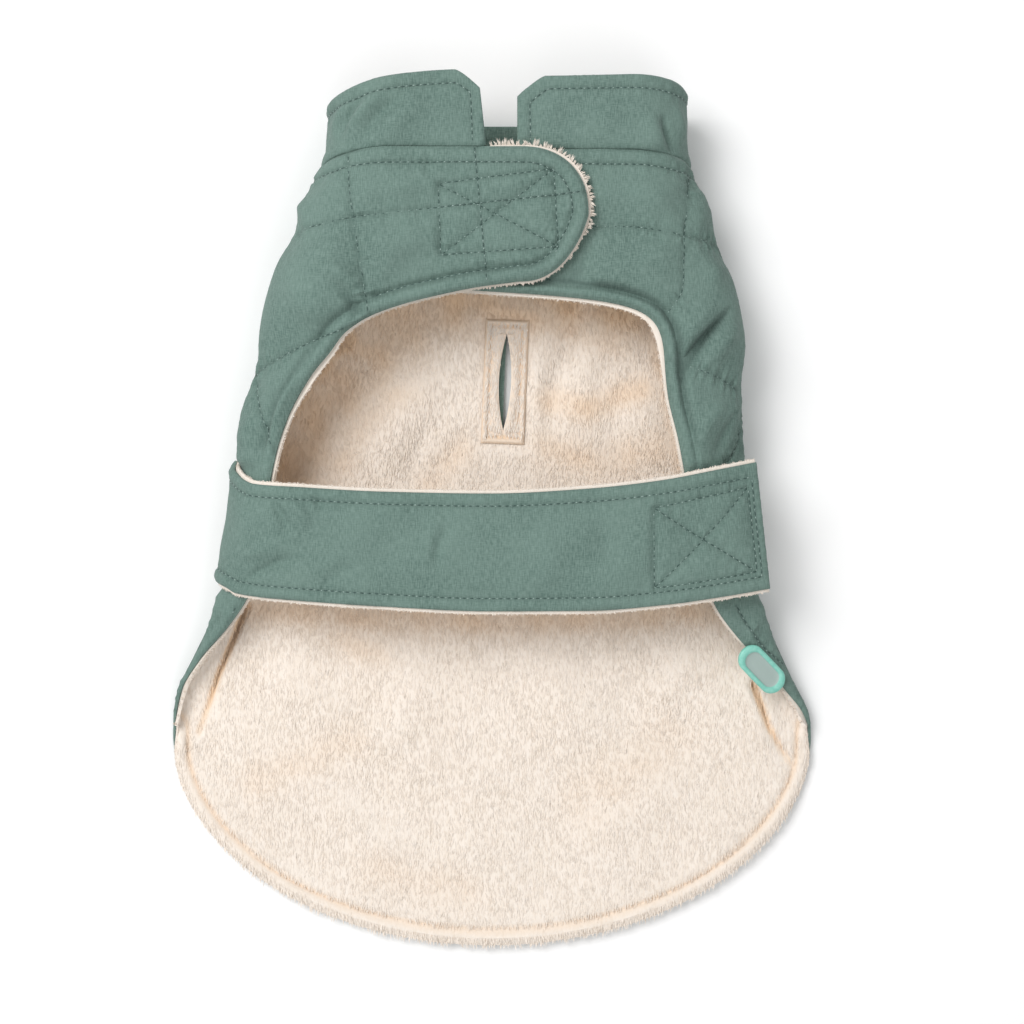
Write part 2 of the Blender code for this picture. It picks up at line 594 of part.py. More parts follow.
def make_strap():
    """The belly strap's shell and plush, with the hook patch under its free end."""
    face = strap_face(*STRAP_GRID)
    inside = face_inward(face)
    plush_top = STRAP_SHELL + SEAM_GAP
    plush_bottom = plush_top + STRAP_PILE
    wall("belly_strap_shell", face, face + inside * STRAP_SHELL, "shell")
    wall("belly_strap_lining", face + inside * plush_top, face + inside * plush_bottom, "plush")
    fine = strap_face(STRAP_FINE, STRAP_GRID[1])
    middle = fine[:, STRAP_GRID[1] // 2]
    length = np.concatenate([[0.0], np.cumsum(np.linalg.norm(np.diff(middle, axis=0), axis=-1))])
    finish = length[-1] - STRAP_PATCH_MARGIN
    first, last = np.searchsorted(length, (finish - STRAP_PATCH_LENGTH, finish))
    along, down = STRAP_PATCH_POINTS
    picked = fine[np.linspace(first, last, along).astype(int)]
    share = np.linspace(STRAP_PATCH_MARGIN, STRAP_WIDTH - STRAP_PATCH_MARGIN, down) / STRAP_WIDTH
    patch = picked[:, :1] + (picked[:, -1:] - picked[:, :1]) * share[None, :, None]
    inside = face_inward(patch)
    top = plush_bottom + SEAM_GAP
    wall("strap_hook_patch", patch + inside * top, patch + inside * (top + PATCH_THICK), "hook_and_loop")


def make_patches():
    """Hook tape under the flap, and loop tape on the chest and on the side below the strap's end."""
    below = SHELL + SEAM_GAP + PILE + SEAM_GAP
    flap = rectangle(*FLAP_PATCH, "left")
    panel("flap_hook_patch", flap, below, below + PATCH_THICK, "hook_and_loop")
    chest = rectangle(*CHEST_PATCH, "right")
    panel("chest_loop_patch", chest, -(SEAM_GAP + PATCH_THICK), -SEAM_GAP, "hook_and_loop")
    columns, rows = SIDE_PATCH_GRID
    away, y = np.meshgrid(np.linspace(*SIDE_PATCH_GIRTH, columns + 1), np.linspace(*SIDE_PATCH_Y, rows + 1))
    side = np.stack([section("right", y)["edge"] - away, y], axis=-1)
    lift = 2 * SEAM_GAP
    panel("side_loop_patch", side, -(lift + PATCH_THICK), -lift, "hook_and_loop")


def make_collar():
    """The stand collar, one wall of folded shell cloth."""
    panel("collar", collar_pattern(*COLLAR_GRID), 0.0, COLLAR_WALL, "shell")


def make_tag():
    """A rounded rubber tag, long way along the right front's free edge and partly past it."""
    length, width, thick = TAG_SIZE
    beyond = TAG_Y + length / 4
    girth = section("right", np.array(TAG_Y))["edge"]
    centre = form(girth, TAG_Y)
    along = unit(form(section("right", np.array(beyond))["edge"], beyond) - centre)
    outward = -inward(girth - width / 4, np.array(TAG_Y))
    outward = unit(outward - along * np.dot(outward, along))
    across = np.cross(outward, along)
    straight = (length - width) / 2
    turn = np.linspace(-np.pi / 2, np.pi / 2, TAG_END_POINTS)
    end = np.stack([straight + width / 2 * np.cos(turn), width / 2 * np.sin(turn)], 1)
    outline = np.vstack([end, -end])
    middle = centre + across * TAG_OVERHANG
    floor = 2 * SEAM_GAP
    bevelled = 1 - TAG_BEVEL * 2 / width
    ceiling = floor + thick
    tiers = ((floor, bevelled), (floor + TAG_BEVEL, 1.0), (ceiling - TAG_BEVEL, 1.0), (ceiling, bevelled))
    rings = []
    for lift, size in tiers:
        ring = outline * size
        rings.append(middle + ring[:, :1] * along + ring[:, 1:] * across + lift * outward)
    count = len(outline)
    faces = [list(range(count)), list(range(3 * count, 4 * count))[::-1]]
    for tier in range(len(tiers) - 1):
        start = tier * count
        faces += [[start + i, start + i + count, start + (i + 1) % count + count, start + (i + 1) % count]
                  for i in range(count)]
    add("edge_tag", made_mesh("edge_tag", np.vstack(rings), faces), "rubber")


def main():
    for old in list(bpy.data.objects):
        bpy.data.objects.remove(old, do_unlink=True)
    coat = bpy.data.objects.new("coat", None)
    bpy.context.scene.collection.objects.link(coat)
    make_body()
    make_collar()
    make_strap()
    make_patches()
    make_tag()


main()
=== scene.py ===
"""Looks of the quilted dog coat: shell cloth, plush, stitching and tag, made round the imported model.

Lengths are in millimetres in the functions, and MM turns them into metres when a mesh is made. X runs across
the coat, Y from the hem to the collar and Z up. A flat point is (girth, y): girth is measured across the
cloth from the middle of the back, negative towards -X. On a front, across is the distance along the cloth
from the middle line of the chest, positive towards that front's own side.
"""

import bpy
import numpy as np
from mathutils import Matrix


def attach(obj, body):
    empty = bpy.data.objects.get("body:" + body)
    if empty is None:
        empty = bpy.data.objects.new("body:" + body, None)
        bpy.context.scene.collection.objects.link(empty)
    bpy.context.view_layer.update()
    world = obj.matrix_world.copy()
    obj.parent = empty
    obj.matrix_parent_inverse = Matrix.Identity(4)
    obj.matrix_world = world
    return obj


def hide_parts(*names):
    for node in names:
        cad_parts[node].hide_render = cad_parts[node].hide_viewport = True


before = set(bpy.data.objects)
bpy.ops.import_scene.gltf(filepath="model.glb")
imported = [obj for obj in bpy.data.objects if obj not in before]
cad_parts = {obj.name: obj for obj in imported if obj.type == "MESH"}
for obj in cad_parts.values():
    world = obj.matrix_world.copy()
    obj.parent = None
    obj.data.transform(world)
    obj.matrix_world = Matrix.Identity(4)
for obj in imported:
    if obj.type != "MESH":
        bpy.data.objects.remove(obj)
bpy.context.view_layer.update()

MM = 0.001
rng = np.random.default_rng(17)

# Sizes of the cut, as in the model of the coat
SHELL = 2.2            # woven shell with its wadding
PILE = 2.0             # plush lining
SEAM_GAP = 0.3
NECK_GAP = 0.1
SHELL_SIDE_GAP = 0.1
LINING_SIDE_GAP = 0.9
COLLAR_WALL = 3.0
RIM = 1.5              # plush that shows past the shell along a free edge
HALF_LENGTH = 183.0
CORNER_Y = -88.0
NECK_FRONT_Y = 151.4
NECK_BACK_Y = 136.0
NECK_LEVEL = 147.0

# Sections across the coat, one row for each height y. The base is flat out to the crease, the cloth turns up
# to its widest line (side) and over to the top (edge). A turn is the direction of the cloth in degrees:
# 0 outwards, 90 straight up, 180 back towards the middle.
COLUMNS = ("y", "crease", "side_x", "side_z", "side_turn", "edge_x", "edge_z", "edge_turn")
LEFT_SECTIONS = (
    (-120, 134.0, 139.0, 0.1, 1, 141.0, 0.2, 2),
    (-100, 130.0, 136.6, 1.6, 24, 138.1, 2.3, 30),
    (-88, 127.0, 136.2, 3.6, 62, 136.6, 5.2, 90),
    (-73, 119.0, 133.4, 6.5, 82, 132.8, 10.0, 118),
    (-59, 111.0, 126.6, 10.0, 87, 123.6, 16.0, 146),
    (-47, 104.0, 120.4, 13.5, 90, 111.8, 23.0, 158),
    (-33, 98.0, 114.6, 16.5, 90, 101.5, 31.5, 160),
    (-18, 93.0, 109.6, 18.0, 90, 96.8, 35.5, 158),
    (0, 89.0, 106.2, 19.0, 90, 94.4, 37.5, 157),
    (28, 85.0, 104.4, 20.5, 90, 88.8, 40.0, 162),
    (42, 82.0, 103.5, 21.5, 90, 83.6, 41.5, 168),
    (58, 78.0, 99.6, 22.5, 90, 74.4, 44.0, 174),
    (74, 73.0, 95.4, 24.0, 90, 62.0, 48.5, 180),
    (88, 69.0, 92.4, 25.0, 90, 61.0, 52.0, 180),
    (103, 65.0, 88.3, 25.5, 90, 61.0, 53.3, 180),
    (117, 59.0, 82.2, 26.0, 90, 57.0, 53.3, 180),
    (134, 53.0, 76.6, 26.0, 90, 50.0, 53.3, 180),
    (152, 45.0, 68.2, 26.0, 90, 43.0, 53.3, 180),
)
RIGHT_SECTIONS = (
    (-120, 134.0, 139.0, 0.1, 1, 141.0, 0.2, 2),
    (-100, 130.0, 136.8, 1.8, 26, 138.2, 2.6, 32),
    (-90, 128.0, 136.7, 3.5, 66, 136.9, 5.8, 98),
    (-83, 124.0, 135.2, 5.4, 82, 133.4, 9.0, 138),
    (-73, 117.0, 130.2, 8.0, 88, 125.2, 13.0, 156),
    (-62, 110.0, 124.8, 11.0, 90, 114.8, 18.5, 163),
    (-50, 103.0, 119.2, 14.0, 90, 103.3, 25.0, 165),
    (-36, 97.0, 113.8, 16.5, 90, 93.5, 31.0, 165),
    (-18, 93.0, 109.8, 18.0, 90, 88.0, 36.0, 165),
    (0, 90.0, 107.2, 19.0, 90, 84.5, 38.0, 166),
    (16, 88.0, 106.0, 20.0, 90, 81.0, 39.5, 168),
    (33, 86.0, 105.6, 21.0, 90, 77.6, 41.5, 170),
    (50, 84.0, 104.9, 22.0, 90, 73.2, 43.5, 174),
    (71, 81.0, 104.0, 23.0, 90, 71.0, 45.2, 180),
    (87, 78.0, 102.0, 23.0, 90, 70.0, 46.0, 180),
    (100, 75.0, 99.2, 23.0, 90, 68.0, 46.0, 180),
    (114, 71.0, 94.9, 23.0, 90, 66.0, 46.0, 180),
    (127, 67.0, 90.5, 23.0, 90, 64.0, 46.0, 180),
    (139, 63.0, 86.0, 23.0, 90, 62.0, 46.0, 180),
    (152, 59.0, 82.0, 23.0, 90, 58.0, 46.0, 180),
)

# The chest edge of each front, from the arm curve to the flap: places (x, y) in plan
LEFT_CHEST_EDGE = ((-62.0, 74.0), (-50.7, 81.5), (-36.0, 87.0), (-20.0, 91.0), (-5.0, 94.0), (12.0, 96.2))
RIGHT_CHEST_EDGE = ((71.0, 71.0), (68.8, 78.6), (62.0, 84.6), (49.0, 88.4), (28.0, 91.0), (-8.0, 93.5))
FRONTS = {
    "left": {"sections": LEFT_SECTIONS, "sign": -1, "chest_edge": LEFT_CHEST_EDGE,
             "flap_reach": 28.0, "flap_squareness": 2.3},
    "right": {"sections": RIGHT_SECTIONS, "sign": 1, "chest_edge": RIGHT_CHEST_EDGE,
              "flap_reach": 22.0, "flap_squareness": 3.0},
}

# Collar
COLLAR_ENDS = (-2.2, 11.3)
COLLAR_HEIGHT = HALF_LENGTH - NECK_FRONT_Y
COLLAR_CORNERS = ((11.5, 8.0), (11.5, 8.5))            # each slanted corner's reach along, and down
COLLAR_LEAN = 2.6        # the left end leans back by this much at its top
COLLAR_DIPS = ((66.0, 30.0, 5.8), (340.0, 50.0, 1.5))  # of the top edge: along it, half width, depth

# Leash slit and its facing
SLIT_CENTRE = (5.8, 58.0)
SLIT_LENGTH = 41.3
SLIT_WIDTH = 5.2         # the plush swells into it from both sides
SLIT_LIP = 2.3           # of the shell, shows past the plush on the slit's left
SLIT_LEAN = np.radians(-2.3)
SLIT_TOOL_HEIGHTS = (-5.0, 14.0)
FACING_SIZE = (18.6, 53.0)
FACING_THICK = 0.9
FACING_STITCH = 2.7      # from its edge to the dip where it is sewn down

# Belly strap
STRAP_SHELL = 1.8
STRAP_PILE = 1.6
STRAP_LIFT = 0.9       # from the front it lies on
STRAP_ON_COAT = (      # rows round the left side: share of the way from seam to edge, upper y, lower y
    (-0.12, 24.0, -27.0),
    (0.15, 21.0, -27.5),
    (0.4, 18.0, -28.5),
    (0.62, 15.5, -29.5),
    (0.82, 14.0, -31.0),
)
STRAP_ROWS = (         # across the coat: x, upper y, upper z, lower y, lower z
    (-78.0, 12.6, 45.6, -34.2, 44.4),
    (-45.0, 10.8, 46.6, -36.4, 46.0),
    (0.0, 10.0, 47.0, -38.4, 46.4),
    (40.0, 12.0, 47.2, -38.2, 46.4),
    (72.0, 15.6, 46.8, -35.8, 44.6),
    (94.0, 19.4, 45.0, -32.6, 41.6),
    (113.0, 23.0, 40.6, -29.4, 37.6),
)
STRAP_END_LEAN = 3.0
STRAP_WIDTH = 50.0
STRAP_RIM = 1.3         # plush that shows past its long edges

# Rubber tag at the right front's free edge
TAG_SIZE = (26.0, 12.0, 2.4)
TAG_Y = -62.0
TAG_OVERHANG = 2.0

# Lines of stitching on the fronts, as places (across, y)
QUILT = {
    "left": (
        ((6.5, 151.4), (1.5, 97.0)),
        ((60.0, 149.0), (54.0, 110.0), (49.0, 79.0)),
        ((104.0, 62.0), (99.0, 50.0), (92.0, 34.0), (89.0, 27.0)),
        ((-40.0, 133.0), (6.0, 128.0), (57.0, 122.6), (88.0, 117.0)),
        ((51.0, 81.5), (79.0, 69.5), (97.0, 62.5), (108.0, 59.0)),
    ),
    "right": (
        ((88.0, 146.0), (83.0, 133.0), (80.0, 119.0), (78.5, 93.0), (71.5, 82.0)),
        ((112.0, 42.0), (104.0, 28.0), (94.0, 18.0)),
        ((20.0, 120.0), (46.0, 119.6), (62.0, 119.3), (75.0, 117.0), (105.0, 113.0)),
        ((73.0, 65.0), (79.0, 63.0), (94.0, 58.0), (106.0, 53.0)),
    ),
}
WING_QUILT = {           # the same below the strap, as places in plan
    "left": (((-106.0, -36.0), (-113.0, -50.0), (-122.0, -60.0)),),
    "right": (((103.0, -37.0), (110.5, -50.0), (117.0, -57.0), (126.0, -63.0)),),
}
WING_VALLEYS = (         # folds beside the turned-up sides below the strap, as places (girth, y)
    ((-104.5, -37.0), (-111.0, -53.0), (-117.0, -67.0), (-121.6, -81.0), (-125.5, -92.0)),
    ((112.0, -71.0), (113.5, -75.0), (118.7, -89.5), (123.6, -98.0), (128.0, -105.0)),
)
WING_DEPTH = 3.2
WING_FADE = 30.0         # length over which they run out at their lower ends
EASE = 7.0               # how far the free edge's corner is rounded
ABOVE_ARM = 90.0         # a height between the arm's curve and the flap
FRONT_RIM = 0.8          # plush that shows along the fronts' free edges
RIM_SWELLS = {           # where the plush rolls out wider: y, half width, how much
    "left": ((60.0, 16.0, 1.5), (-84.0, 9.0, 2.0)),
    "right": ((76.0, 13.0, 1.6), (-85.0, 9.0, 1.8)),
}
BACK_QUILT_GIRTH = (-82.5, -27.5, 27.5, 82.5)
BACK_QUILT_Y = (110.0, 55.0, 0.0, -55.0, -110.0, -165.0)
BACK_QUILT_TOP = 132.0   # where its upright rows end below the neck
BACK_THREAD_LEVEL = 0.35 # least height of its rows above what the coat lies on
FLAP_BOX = ((21.3, 136.0), (-25.8, 142.2), (-27.6, 110.6), (20.2, 107.0))
THREAD_ENDS = (          # crossed at the box's corner
    ((-27.0, 112.4), (-29.4, 108.6)),
    ((-28.6, 112.0), (-26.4, 107.8)),
)
EDGE_STITCH = {"left": 6.6, "right": 6.2}      # from the free edge to its topstitching
THREAD_FROM = {"left": 50.0, "right": 26.0}    # across, where the chest's topstitching begins
EDGE_GROOVE = {"left": 1.3, "right": 2.5}      # depth of the dip beside the arm's rolled edge
EDGE_BAND = {"left": 0.8, "right": 1.3}        # height of that rolled edge
COLLAR_STITCH = 5.6
HEM_STITCH = 6.4
STRAP_STITCH = 5.4
STRAP_END_STITCH = 3.2
STRAP_BOX = (42.0, 5.2)                  # length of its cross-stitched box, and the margin to the free end
STRAP_BOX_INSET = (10.5, 9.0, 7.6, 7.2)  # from the long edges, round the box from its upper left corner
STITCH_PITCH = 3.0
LONGEST_STEP = 2.0       # between two places that a row of stitches runs through
SHADED_DASH = (0.0, 1.8, 0.29)  # the sunk part of a stitch, in painted shade: place in the pitch, length, radius
HIGHLIGHT_SPOT = (1.5, 0.95, 0.30) # the part of its thread that stands up, in painted highlight
THREAD_LIFT = 0.05       # of its middle, from the cloth
SPINDLE = ((-1.0, 0.0), (-0.7, 0.75), (0.0, 1.0), (0.7, 0.75), (1.0, 0.0))   # a stitch: (along, width)
TUFT = 1.15              # spacing of the tufts that edge fibres gather in

CREASE_DEPTH = 2.0       # scales the creases' heights on the fronts, the collar and the strap

# Soft creases, each (from, to, half width, height): (across, y) on a front, (plan x, y) on the collar,
# (girth, y) on the back's plush and (along, down) on the strap
FRONT_CREASES = {
    "left": (
        ((70.0, 104.0), (49.0, 88.0), 4.5, 1.5),
        ((63.0, 97.0), (51.0, 70.0), 2.6, -1.3),
        ((84.0, 96.0), (66.0, 76.0), 6.0, 1.2),
        ((80.0, 62.0), (94.0, 34.0), 4.0, 1.1),
        ((88.0, 56.0), (100.0, 24.0), 2.4, -0.9),
        ((98.0, 46.0), (108.0, 30.0), 4.0, 0.9),
        ((90.0, 132.0), (74.0, 112.0), 5.0, 0.8),
        ((30.0, 146.0), (44.0, 126.0), 7.0, 0.5),
        ((20.0, 118.0), (46.0, 100.0), 6.0, -0.5),
        ((-8.0, 104.0), (-24.0, 99.0), 5.0, 0.4),
        ((114.0, -36.0), (106.0, -62.0), 3.0, 0.8),
        ((120.0, -50.0), (112.0, -76.0), 2.2, -0.7),
    ),
    "right": (
        ((100.0, 86.0), (77.0, 56.0), 2.2, -2.6),
        ((104.0, 80.0), (86.0, 56.0), 4.0, 1.1),
        ((92.0, 88.0), (76.0, 68.0), 3.6, 0.9),
        ((29.0, 96.5), (39.0, 104.0), 2.0, -1.0),
        ((36.0, 98.0), (58.0, 101.0), 4.0, 0.8),
        ((60.0, 140.0), (70.0, 124.0), 6.0, 0.6),
        ((96.0, 138.0), (84.0, 120.0), 5.0, 0.8),
        ((100.0, 104.0), (88.0, 96.0), 4.0, 0.7),
        ((96.0, 48.0), (84.0, 30.0), 3.6, 1.0),
        ((102.0, 44.0), (92.0, 24.0), 2.4, -0.8),
        ((112.0, -40.0), (108.0, -66.0), 3.0, 0.8),
        ((104.0, -44.0), (102.0, -68.0), 2.2, -0.8),
    ),
}
LINING_FOLDS = (
    ((30.0, 88.0), (14.0, 22.0), 8.0, 1.9),
    ((50.0, 86.0), (36.0, 26.0), 7.0, 2.2),
    ((42.0, 90.0), (24.0, 34.0), 4.0, -1.6),
    ((64.0, 70.0), (52.0, 22.0), 5.0, -1.3),
    ((-8.0, 40.0), (-24.0, 10.0), 5.0, -1.4),
    ((-16.0, 66.0), (-52.0, 14.0), 8.0, 2.2),
    ((-36.0, 72.0), (-62.0, 40.0), 7.0, -1.5),
    ((-20.0, 44.0), (-38.0, 12.0), 4.0, -1.3),
    ((70.0, 60.0), (74.0, 20.0), 6.0, 1.5),
    ((-96.0, -62.0), (-58.0, -88.0), 9.0, 1.5),
    ((-60.0, -50.0), (-44.0, -76.0), 10.0, 1.2),
    ((-28.0, -60.0), (-40.0, -104.0), 9.0, 1.1),
    ((20.0, -48.0), (44.0, -98.0), 12.0, 1.2),
    ((88.0, -56.0), (70.0, -92.0), 8.0, 1.5),
    ((-70.0, -116.0), (-24.0, -150.0), 8.0, 1.2),
    ((-20.0, -150.0), (4.0, -166.0), 6.0, -0.9),
    ((30.0, -136.0), (80.0, -112.0), 9.0, 1.1),
)
NAP_PATCHES_AND_PAINTED_SHADE = (           # painted shade along the opening's edges and in the strap's shadow, then patches where the back's pile is turned away: places in plan, reach, share
    # painted shade: along the left arm's edge inside the opening, over its upper left, along its top, down
    # its right edge, and in the strap's shadow
    (((-99.0, 10.0), (-90.0, 38.0), (-76.0, 60.0), (-60.0, 77.0)), 5.5, 1.2),
    (((-93.0, 12.0), (-80.0, 44.0), (-62.0, 66.0), (-42.0, 86.0)), 20.0, 0.8),
    (((-42.0, 90.0), (-18.0, 93.0), (20.0, 93.0), (58.0, 88.0)), 14.0, 0.95),
    (((66.0, 84.0), (74.0, 60.0), (82.0, 20.0)), 4.0, 0.5),
    (((-104.0, -38.0), (-60.0, -42.0), (0.0, -43.0), (60.0, -42.0), (98.0, -38.0)), 7.0, 0.6),
    # patches where the pile is turned away
    (((26.0, 50.0), (40.0, 47.0), (64.0, 56.0)), 6.0, 0.65),
    (((24.0, 30.0), (46.0, 24.0), (70.0, 30.0)), 8.0, 0.4),
    (((-36.0, 56.0), (-56.0, 40.0), (-66.0, 22.0)), 7.0, 0.4),
    (((-12.0, 30.0), (-26.0, 16.0)), 6.0, 0.35),
    (((-66.0, -50.0), (-50.0, -58.0)), 6.0, 0.4),
    (((-100.0, -112.0), (-60.0, -96.0)), 8.0, 0.22),
    (((40.0, -120.0), (76.0, -96.0)), 12.0, 0.18),
    (((-50.0, -150.0), (-10.0, -160.0)), 8.0, 0.2),
)
COLLAR_CREASES = (
    ((-34.0, 172.0), (-55.0, 151.0), 3.2, -1.3),
    ((-42.0, 175.0), (-60.0, 156.0), 3.6, 1.2),
    ((-50.0, 172.0), (-66.0, 155.0), 2.4, -1.1),
    ((-26.0, 172.0), (-44.0, 153.0), 5.0, 0.8),
    ((-58.0, 171.0), (-72.0, 158.0), 3.4, 0.9),
    ((71.0, 166.0), (79.0, 150.5), 2.4, -1.7),
    ((65.0, 168.0), (72.0, 151.0), 4.0, 1.0),
    ((78.0, 172.0), (86.0, 156.0), 3.5, 0.9),
    ((34.0, 172.0), (30.0, 156.0), 6.0, -0.35),
    ((52.0, 171.0), (46.0, 154.0), 6.0, 0.4),
)
STRAP_CREASES = (
    ((38.0, 6.0), (47.0, 22.0), 2.2, -1.2),
    ((44.0, 4.0), (56.0, 17.0), 2.6, 1.0),
    ((30.0, 44.0), (52.0, 31.0), 2.4, -1.1),
    ((26.0, 36.0), (46.0, 26.0), 3.0, 0.9),
    ((60.0, 44.0), (76.0, 32.0), 4.0, -0.7),
    ((56.0, 3.0), (62.0, 11.0), 1.6, -0.9),
    ((108.0, 34.0), (114.0, 12.0), 2.4, -0.7),
    ((104.0, 30.0), (110.0, 8.0), 3.4, 0.5),
    ((150.0, 14.0), (156.0, 40.0), 5.0, 0.5),
    ((172.0, 12.0), (178.0, 34.0), 4.0, -0.4),
)
FLAP_LAST_RIB = np.radians(88.5)
FLAP_LOWER_POWER = 1.6   # the flap's lower corner is rounder than its upper one

# How cloth swells between rows of stitches: height, how far from a row it is reached, depth of the row,
# height of the gathers beside it
FRONT_PUFF = (3.2, 10.5, 0.8, 0.45)
FLAP_BOX_PUFF = (1.0, 5.0, 0.75, 0.35)
STRAP_BOX_PUFF = (0.8, 5.0, 0.6, 0.28)
STITCH_SHADE_HALF_WIDTH = 0.9       # half width of the painted shade along a row of stitches

# Columns and rows of the grids. A front's ribs are counted along its side seam, its chest and its flap.
CROWDING = 1.35          # how the back's columns crowd towards its turned-up sides
BACK_SHELL_GRID = (104, 116)
BACK_PLUSH_GRID = (146, 166)
FACING_GRID = (44, 110)
FRONT_RIBS = (150, 64, 48)
FRONT_COLUMNS = 76
FRONT_PLUSH_RIBS = (110, 44, 40)
FRONT_PLUSH_COLUMNS = 34
EDGE_RIBS = (150, 60, 60)
LINE_RIBS = (40, 24, 20)
COLLAR_GRID = (290, 36)
STRAP_SHELL_GRID = (220, 52)
STRAP_PLUSH_GRID = (170, 30)

# Pile: how many fibres, and their length. The ones tried include those that fall outside what shows.
BACK_PILE = 60000
BACK_PILE_TRIED = 74000
BACK_PILE_TOP = 112.0    # none grows above it, inside the closed neck
BACK_NAP = 2.3
FACING_PILE_TRIED = 1900
FACING_NAP = 2.2
FRONT_PILE_TRIED = 13000
FRONT_NAP = 2.4
FRONT_NAP_INSET = 3.4    # from the free edge
HEM_FRINGE = (9.0, 0.8)  # fibres for each millimetre of edge, and their reach
STRAP_FRINGE = (10.0, 0.9)
FRONT_FRINGE = (12.0, 1.15)
SHAGGY_REACH = 1.9       # more, round the flap's upper corner

# The tag's profile from its foot over the rim to the sunk core, as shares: (size, height)
TAG_PROFILE = (
    (0.0, 0.0), (0.86, 0.0), (0.97, 0.18), (1.0, 0.5), (0.97, 0.8), (0.9, 0.96), (0.82, 1.0),
    (0.74, 0.97), (0.67, 0.84), (0.63, 0.68), (0.55, 0.62), (0.3, 0.66), (0.0, 0.68),
)
TAG_CORE_SIZE = 0.66
TAG_TURNS = 72

# Colours of the finishes, in linear light
SHELL_GREEN = (0.130, 0.201, 0.174)
SHELL_GREEN_DEEP = (0.097, 0.158, 0.136)
SHELL_GREEN_LIGHT = (0.180, 0.262, 0.231)
SHELL_SHADE = (0.040, 0.062, 0.055)
PLUSH_CREAM = (0.845, 0.765, 0.685)
PLUSH_SHADE = (0.79, 0.70, 0.605)
PLUSH_LIGHT = (0.87, 0.82, 0.77)
# painted shade in the plush's deepest folds
PLUSH_DEEP_SHADE = (0.26, 0.165, 0.105)
# the plush's painted shade along edges, folds and grooves, which is also the tone of its turned nap
PLUSH_NAP_AND_SHADE_TONE = (0.80, 0.60, 0.42)
# the thread in painted shade for the sunk parts of stitches, and in painted highlight for the raised parts
THREAD_SHADED = (0.060, 0.112, 0.098)
THREAD_SHADED_DEEP = (0.036, 0.072, 0.063)
THREAD_HIGHLIGHT = (0.13, 0.205, 0.18)
THREAD_GLINT = (0.32, 0.42, 0.385)
TAPE = (0.07, 0.11, 0.095)
TAPE_LIGHT = (0.14, 0.2, 0.18)
TAG_RIM = (0.20, 0.56, 0.46)
TAG_RIM_LIGHT = (0.34, 0.70, 0.60)
TAG_CORE = (0.36, 0.45, 0.42)

# Room, in metres and watts
KEY_LIGHT = {"place": (-0.72, 0.6, 1.4), "size": 0.9, "power": 21.0}
FILL_LIGHT = {"place": (0.3, -0.9, 1.5), "size": 1.6, "power": 9.4}
SKY = 0.42
FLOOR_HALF = 2.0
FLOOR_LEVEL = -0.0006
FLOOR_GREY = 0.93
CAMERA_PLACE = (0.0088, 0.0024, 1.0)
CAMERA_LENS = 81.8


def unit(vectors):
    """Directions of length 1."""
    return vectors / np.maximum(np.linalg.norm(vectors, axis=-1, keepdims=True), 1e-9)


def lengths(path):
    """Length along a path at each of its places."""
    return np.concatenate([[0.0], np.cumsum(np.linalg.norm(np.diff(path, axis=0), axis=-1))])


def read_at(wanted, length, values):
    """Rows of values, known at lengths along a path, read between them at the wanted lengths."""
    return np.stack([np.interp(wanted, length, column) for column in values.T], axis=-1)


def blended(grid, i, j, a, b):
    """Values inside a grid's cells (i, j): the mean of the four corners, weighted by the shares a and b."""
    near = grid[i, j] * (1 - b) + grid[i, j + 1] * b
    far = grid[i + 1, j] * (1 - b) + grid[i + 1, j + 1] * b
    return near * (1 - a) + far * a


def rim_of(grid):
    """The entries round the edge of a grid, in order."""
    return np.concatenate([grid[0, :-1], grid[:-1, -1], grid[-1, :0:-1], grid[:0:-1, 0]])


def smooth_step(value):
    """Rise from 0 to 1 with level ends: 3t^2 - 2t^3."""
    t = np.clip(value, 0.0, 1.0)
    return t * t * (3.0 - 2.0 * t)


def through_rows(places, values, wanted):
    """A curve through the rows that never swings past them.

    It is made of cubics, whose slope at a row is the weighted harmonic mean of the slopes beside it.
    """
    places = np.asarray(places, dtype=float)
    values = np.asarray(values, dtype=float)
    step = np.diff(places)
    rise = np.diff(values) / step
    same_way = rise[:-1] * rise[1:] > 0.0
    before = np.where(same_way, rise[:-1], 1.0)
    after = np.where(same_way, rise[1:], 1.0)
    near = 2.0 * step[1:] + step[:-1]
    far = step[1:] + 2.0 * step[:-1]
    slope = np.zeros_like(values)
    slope[1:-1] = np.where(same_way, (near + far) / (near / before + far / after), 0.0)
    slope[0] = rise[0]
    slope[-1] = rise[-1]
    wanted = np.clip(wanted, places[0], places[-1])
    row = np.clip(np.searchsorted(places, wanted) - 1, 0, len(step) - 1)
    t = (wanted - places[row]) / step[row]
    start = values[row] * (1 + 2 * t) * (1 - t) ** 2 + slope[row] * step[row] * t * (1 - t) ** 2
    finish = values[row + 1] * t * t * (3 - 2 * t) - slope[row + 1] * step[row] * t * t * (1 - t)
    return start + finish


def section(side, y):
    """Every column of one side's section table at height y, with the lengths of its two arcs of cloth."""
    rows = np.array(FRONTS[side]["sections"], dtype=float)
    here = {name: through_rows(rows[:, 0], rows[:, i], y) for i, name in enumerate(COLUMNS) if i}
    here["side_turn"] = np.radians(here["side_turn"])
    here["edge_turn"] = np.radians(here["edge_turn"])
    here["lower_chord"] = np.hypot(here["side_x"] - here["crease"], here["side_z"])
    here["upper_chord"] = np.hypot(here["side_x"] - here["edge_x"], here["edge_z"] - here["side_z"])
    here["upper_turn"] = here["edge_turn"] - here["side_turn"]
    here["seam"] = here["crease"] + arc_length(here["lower_chord"], here["side_turn"])
    here["edge"] = here["seam"] + arc_length(here["upper_chord"], here["upper_turn"])
    return here


def arc_length(chord, turn):
    """Length of a round arc from its chord and how far it turns."""
    half = np.maximum(turn, 1e-4) / 2.0
    return chord * half / np.sin(half)


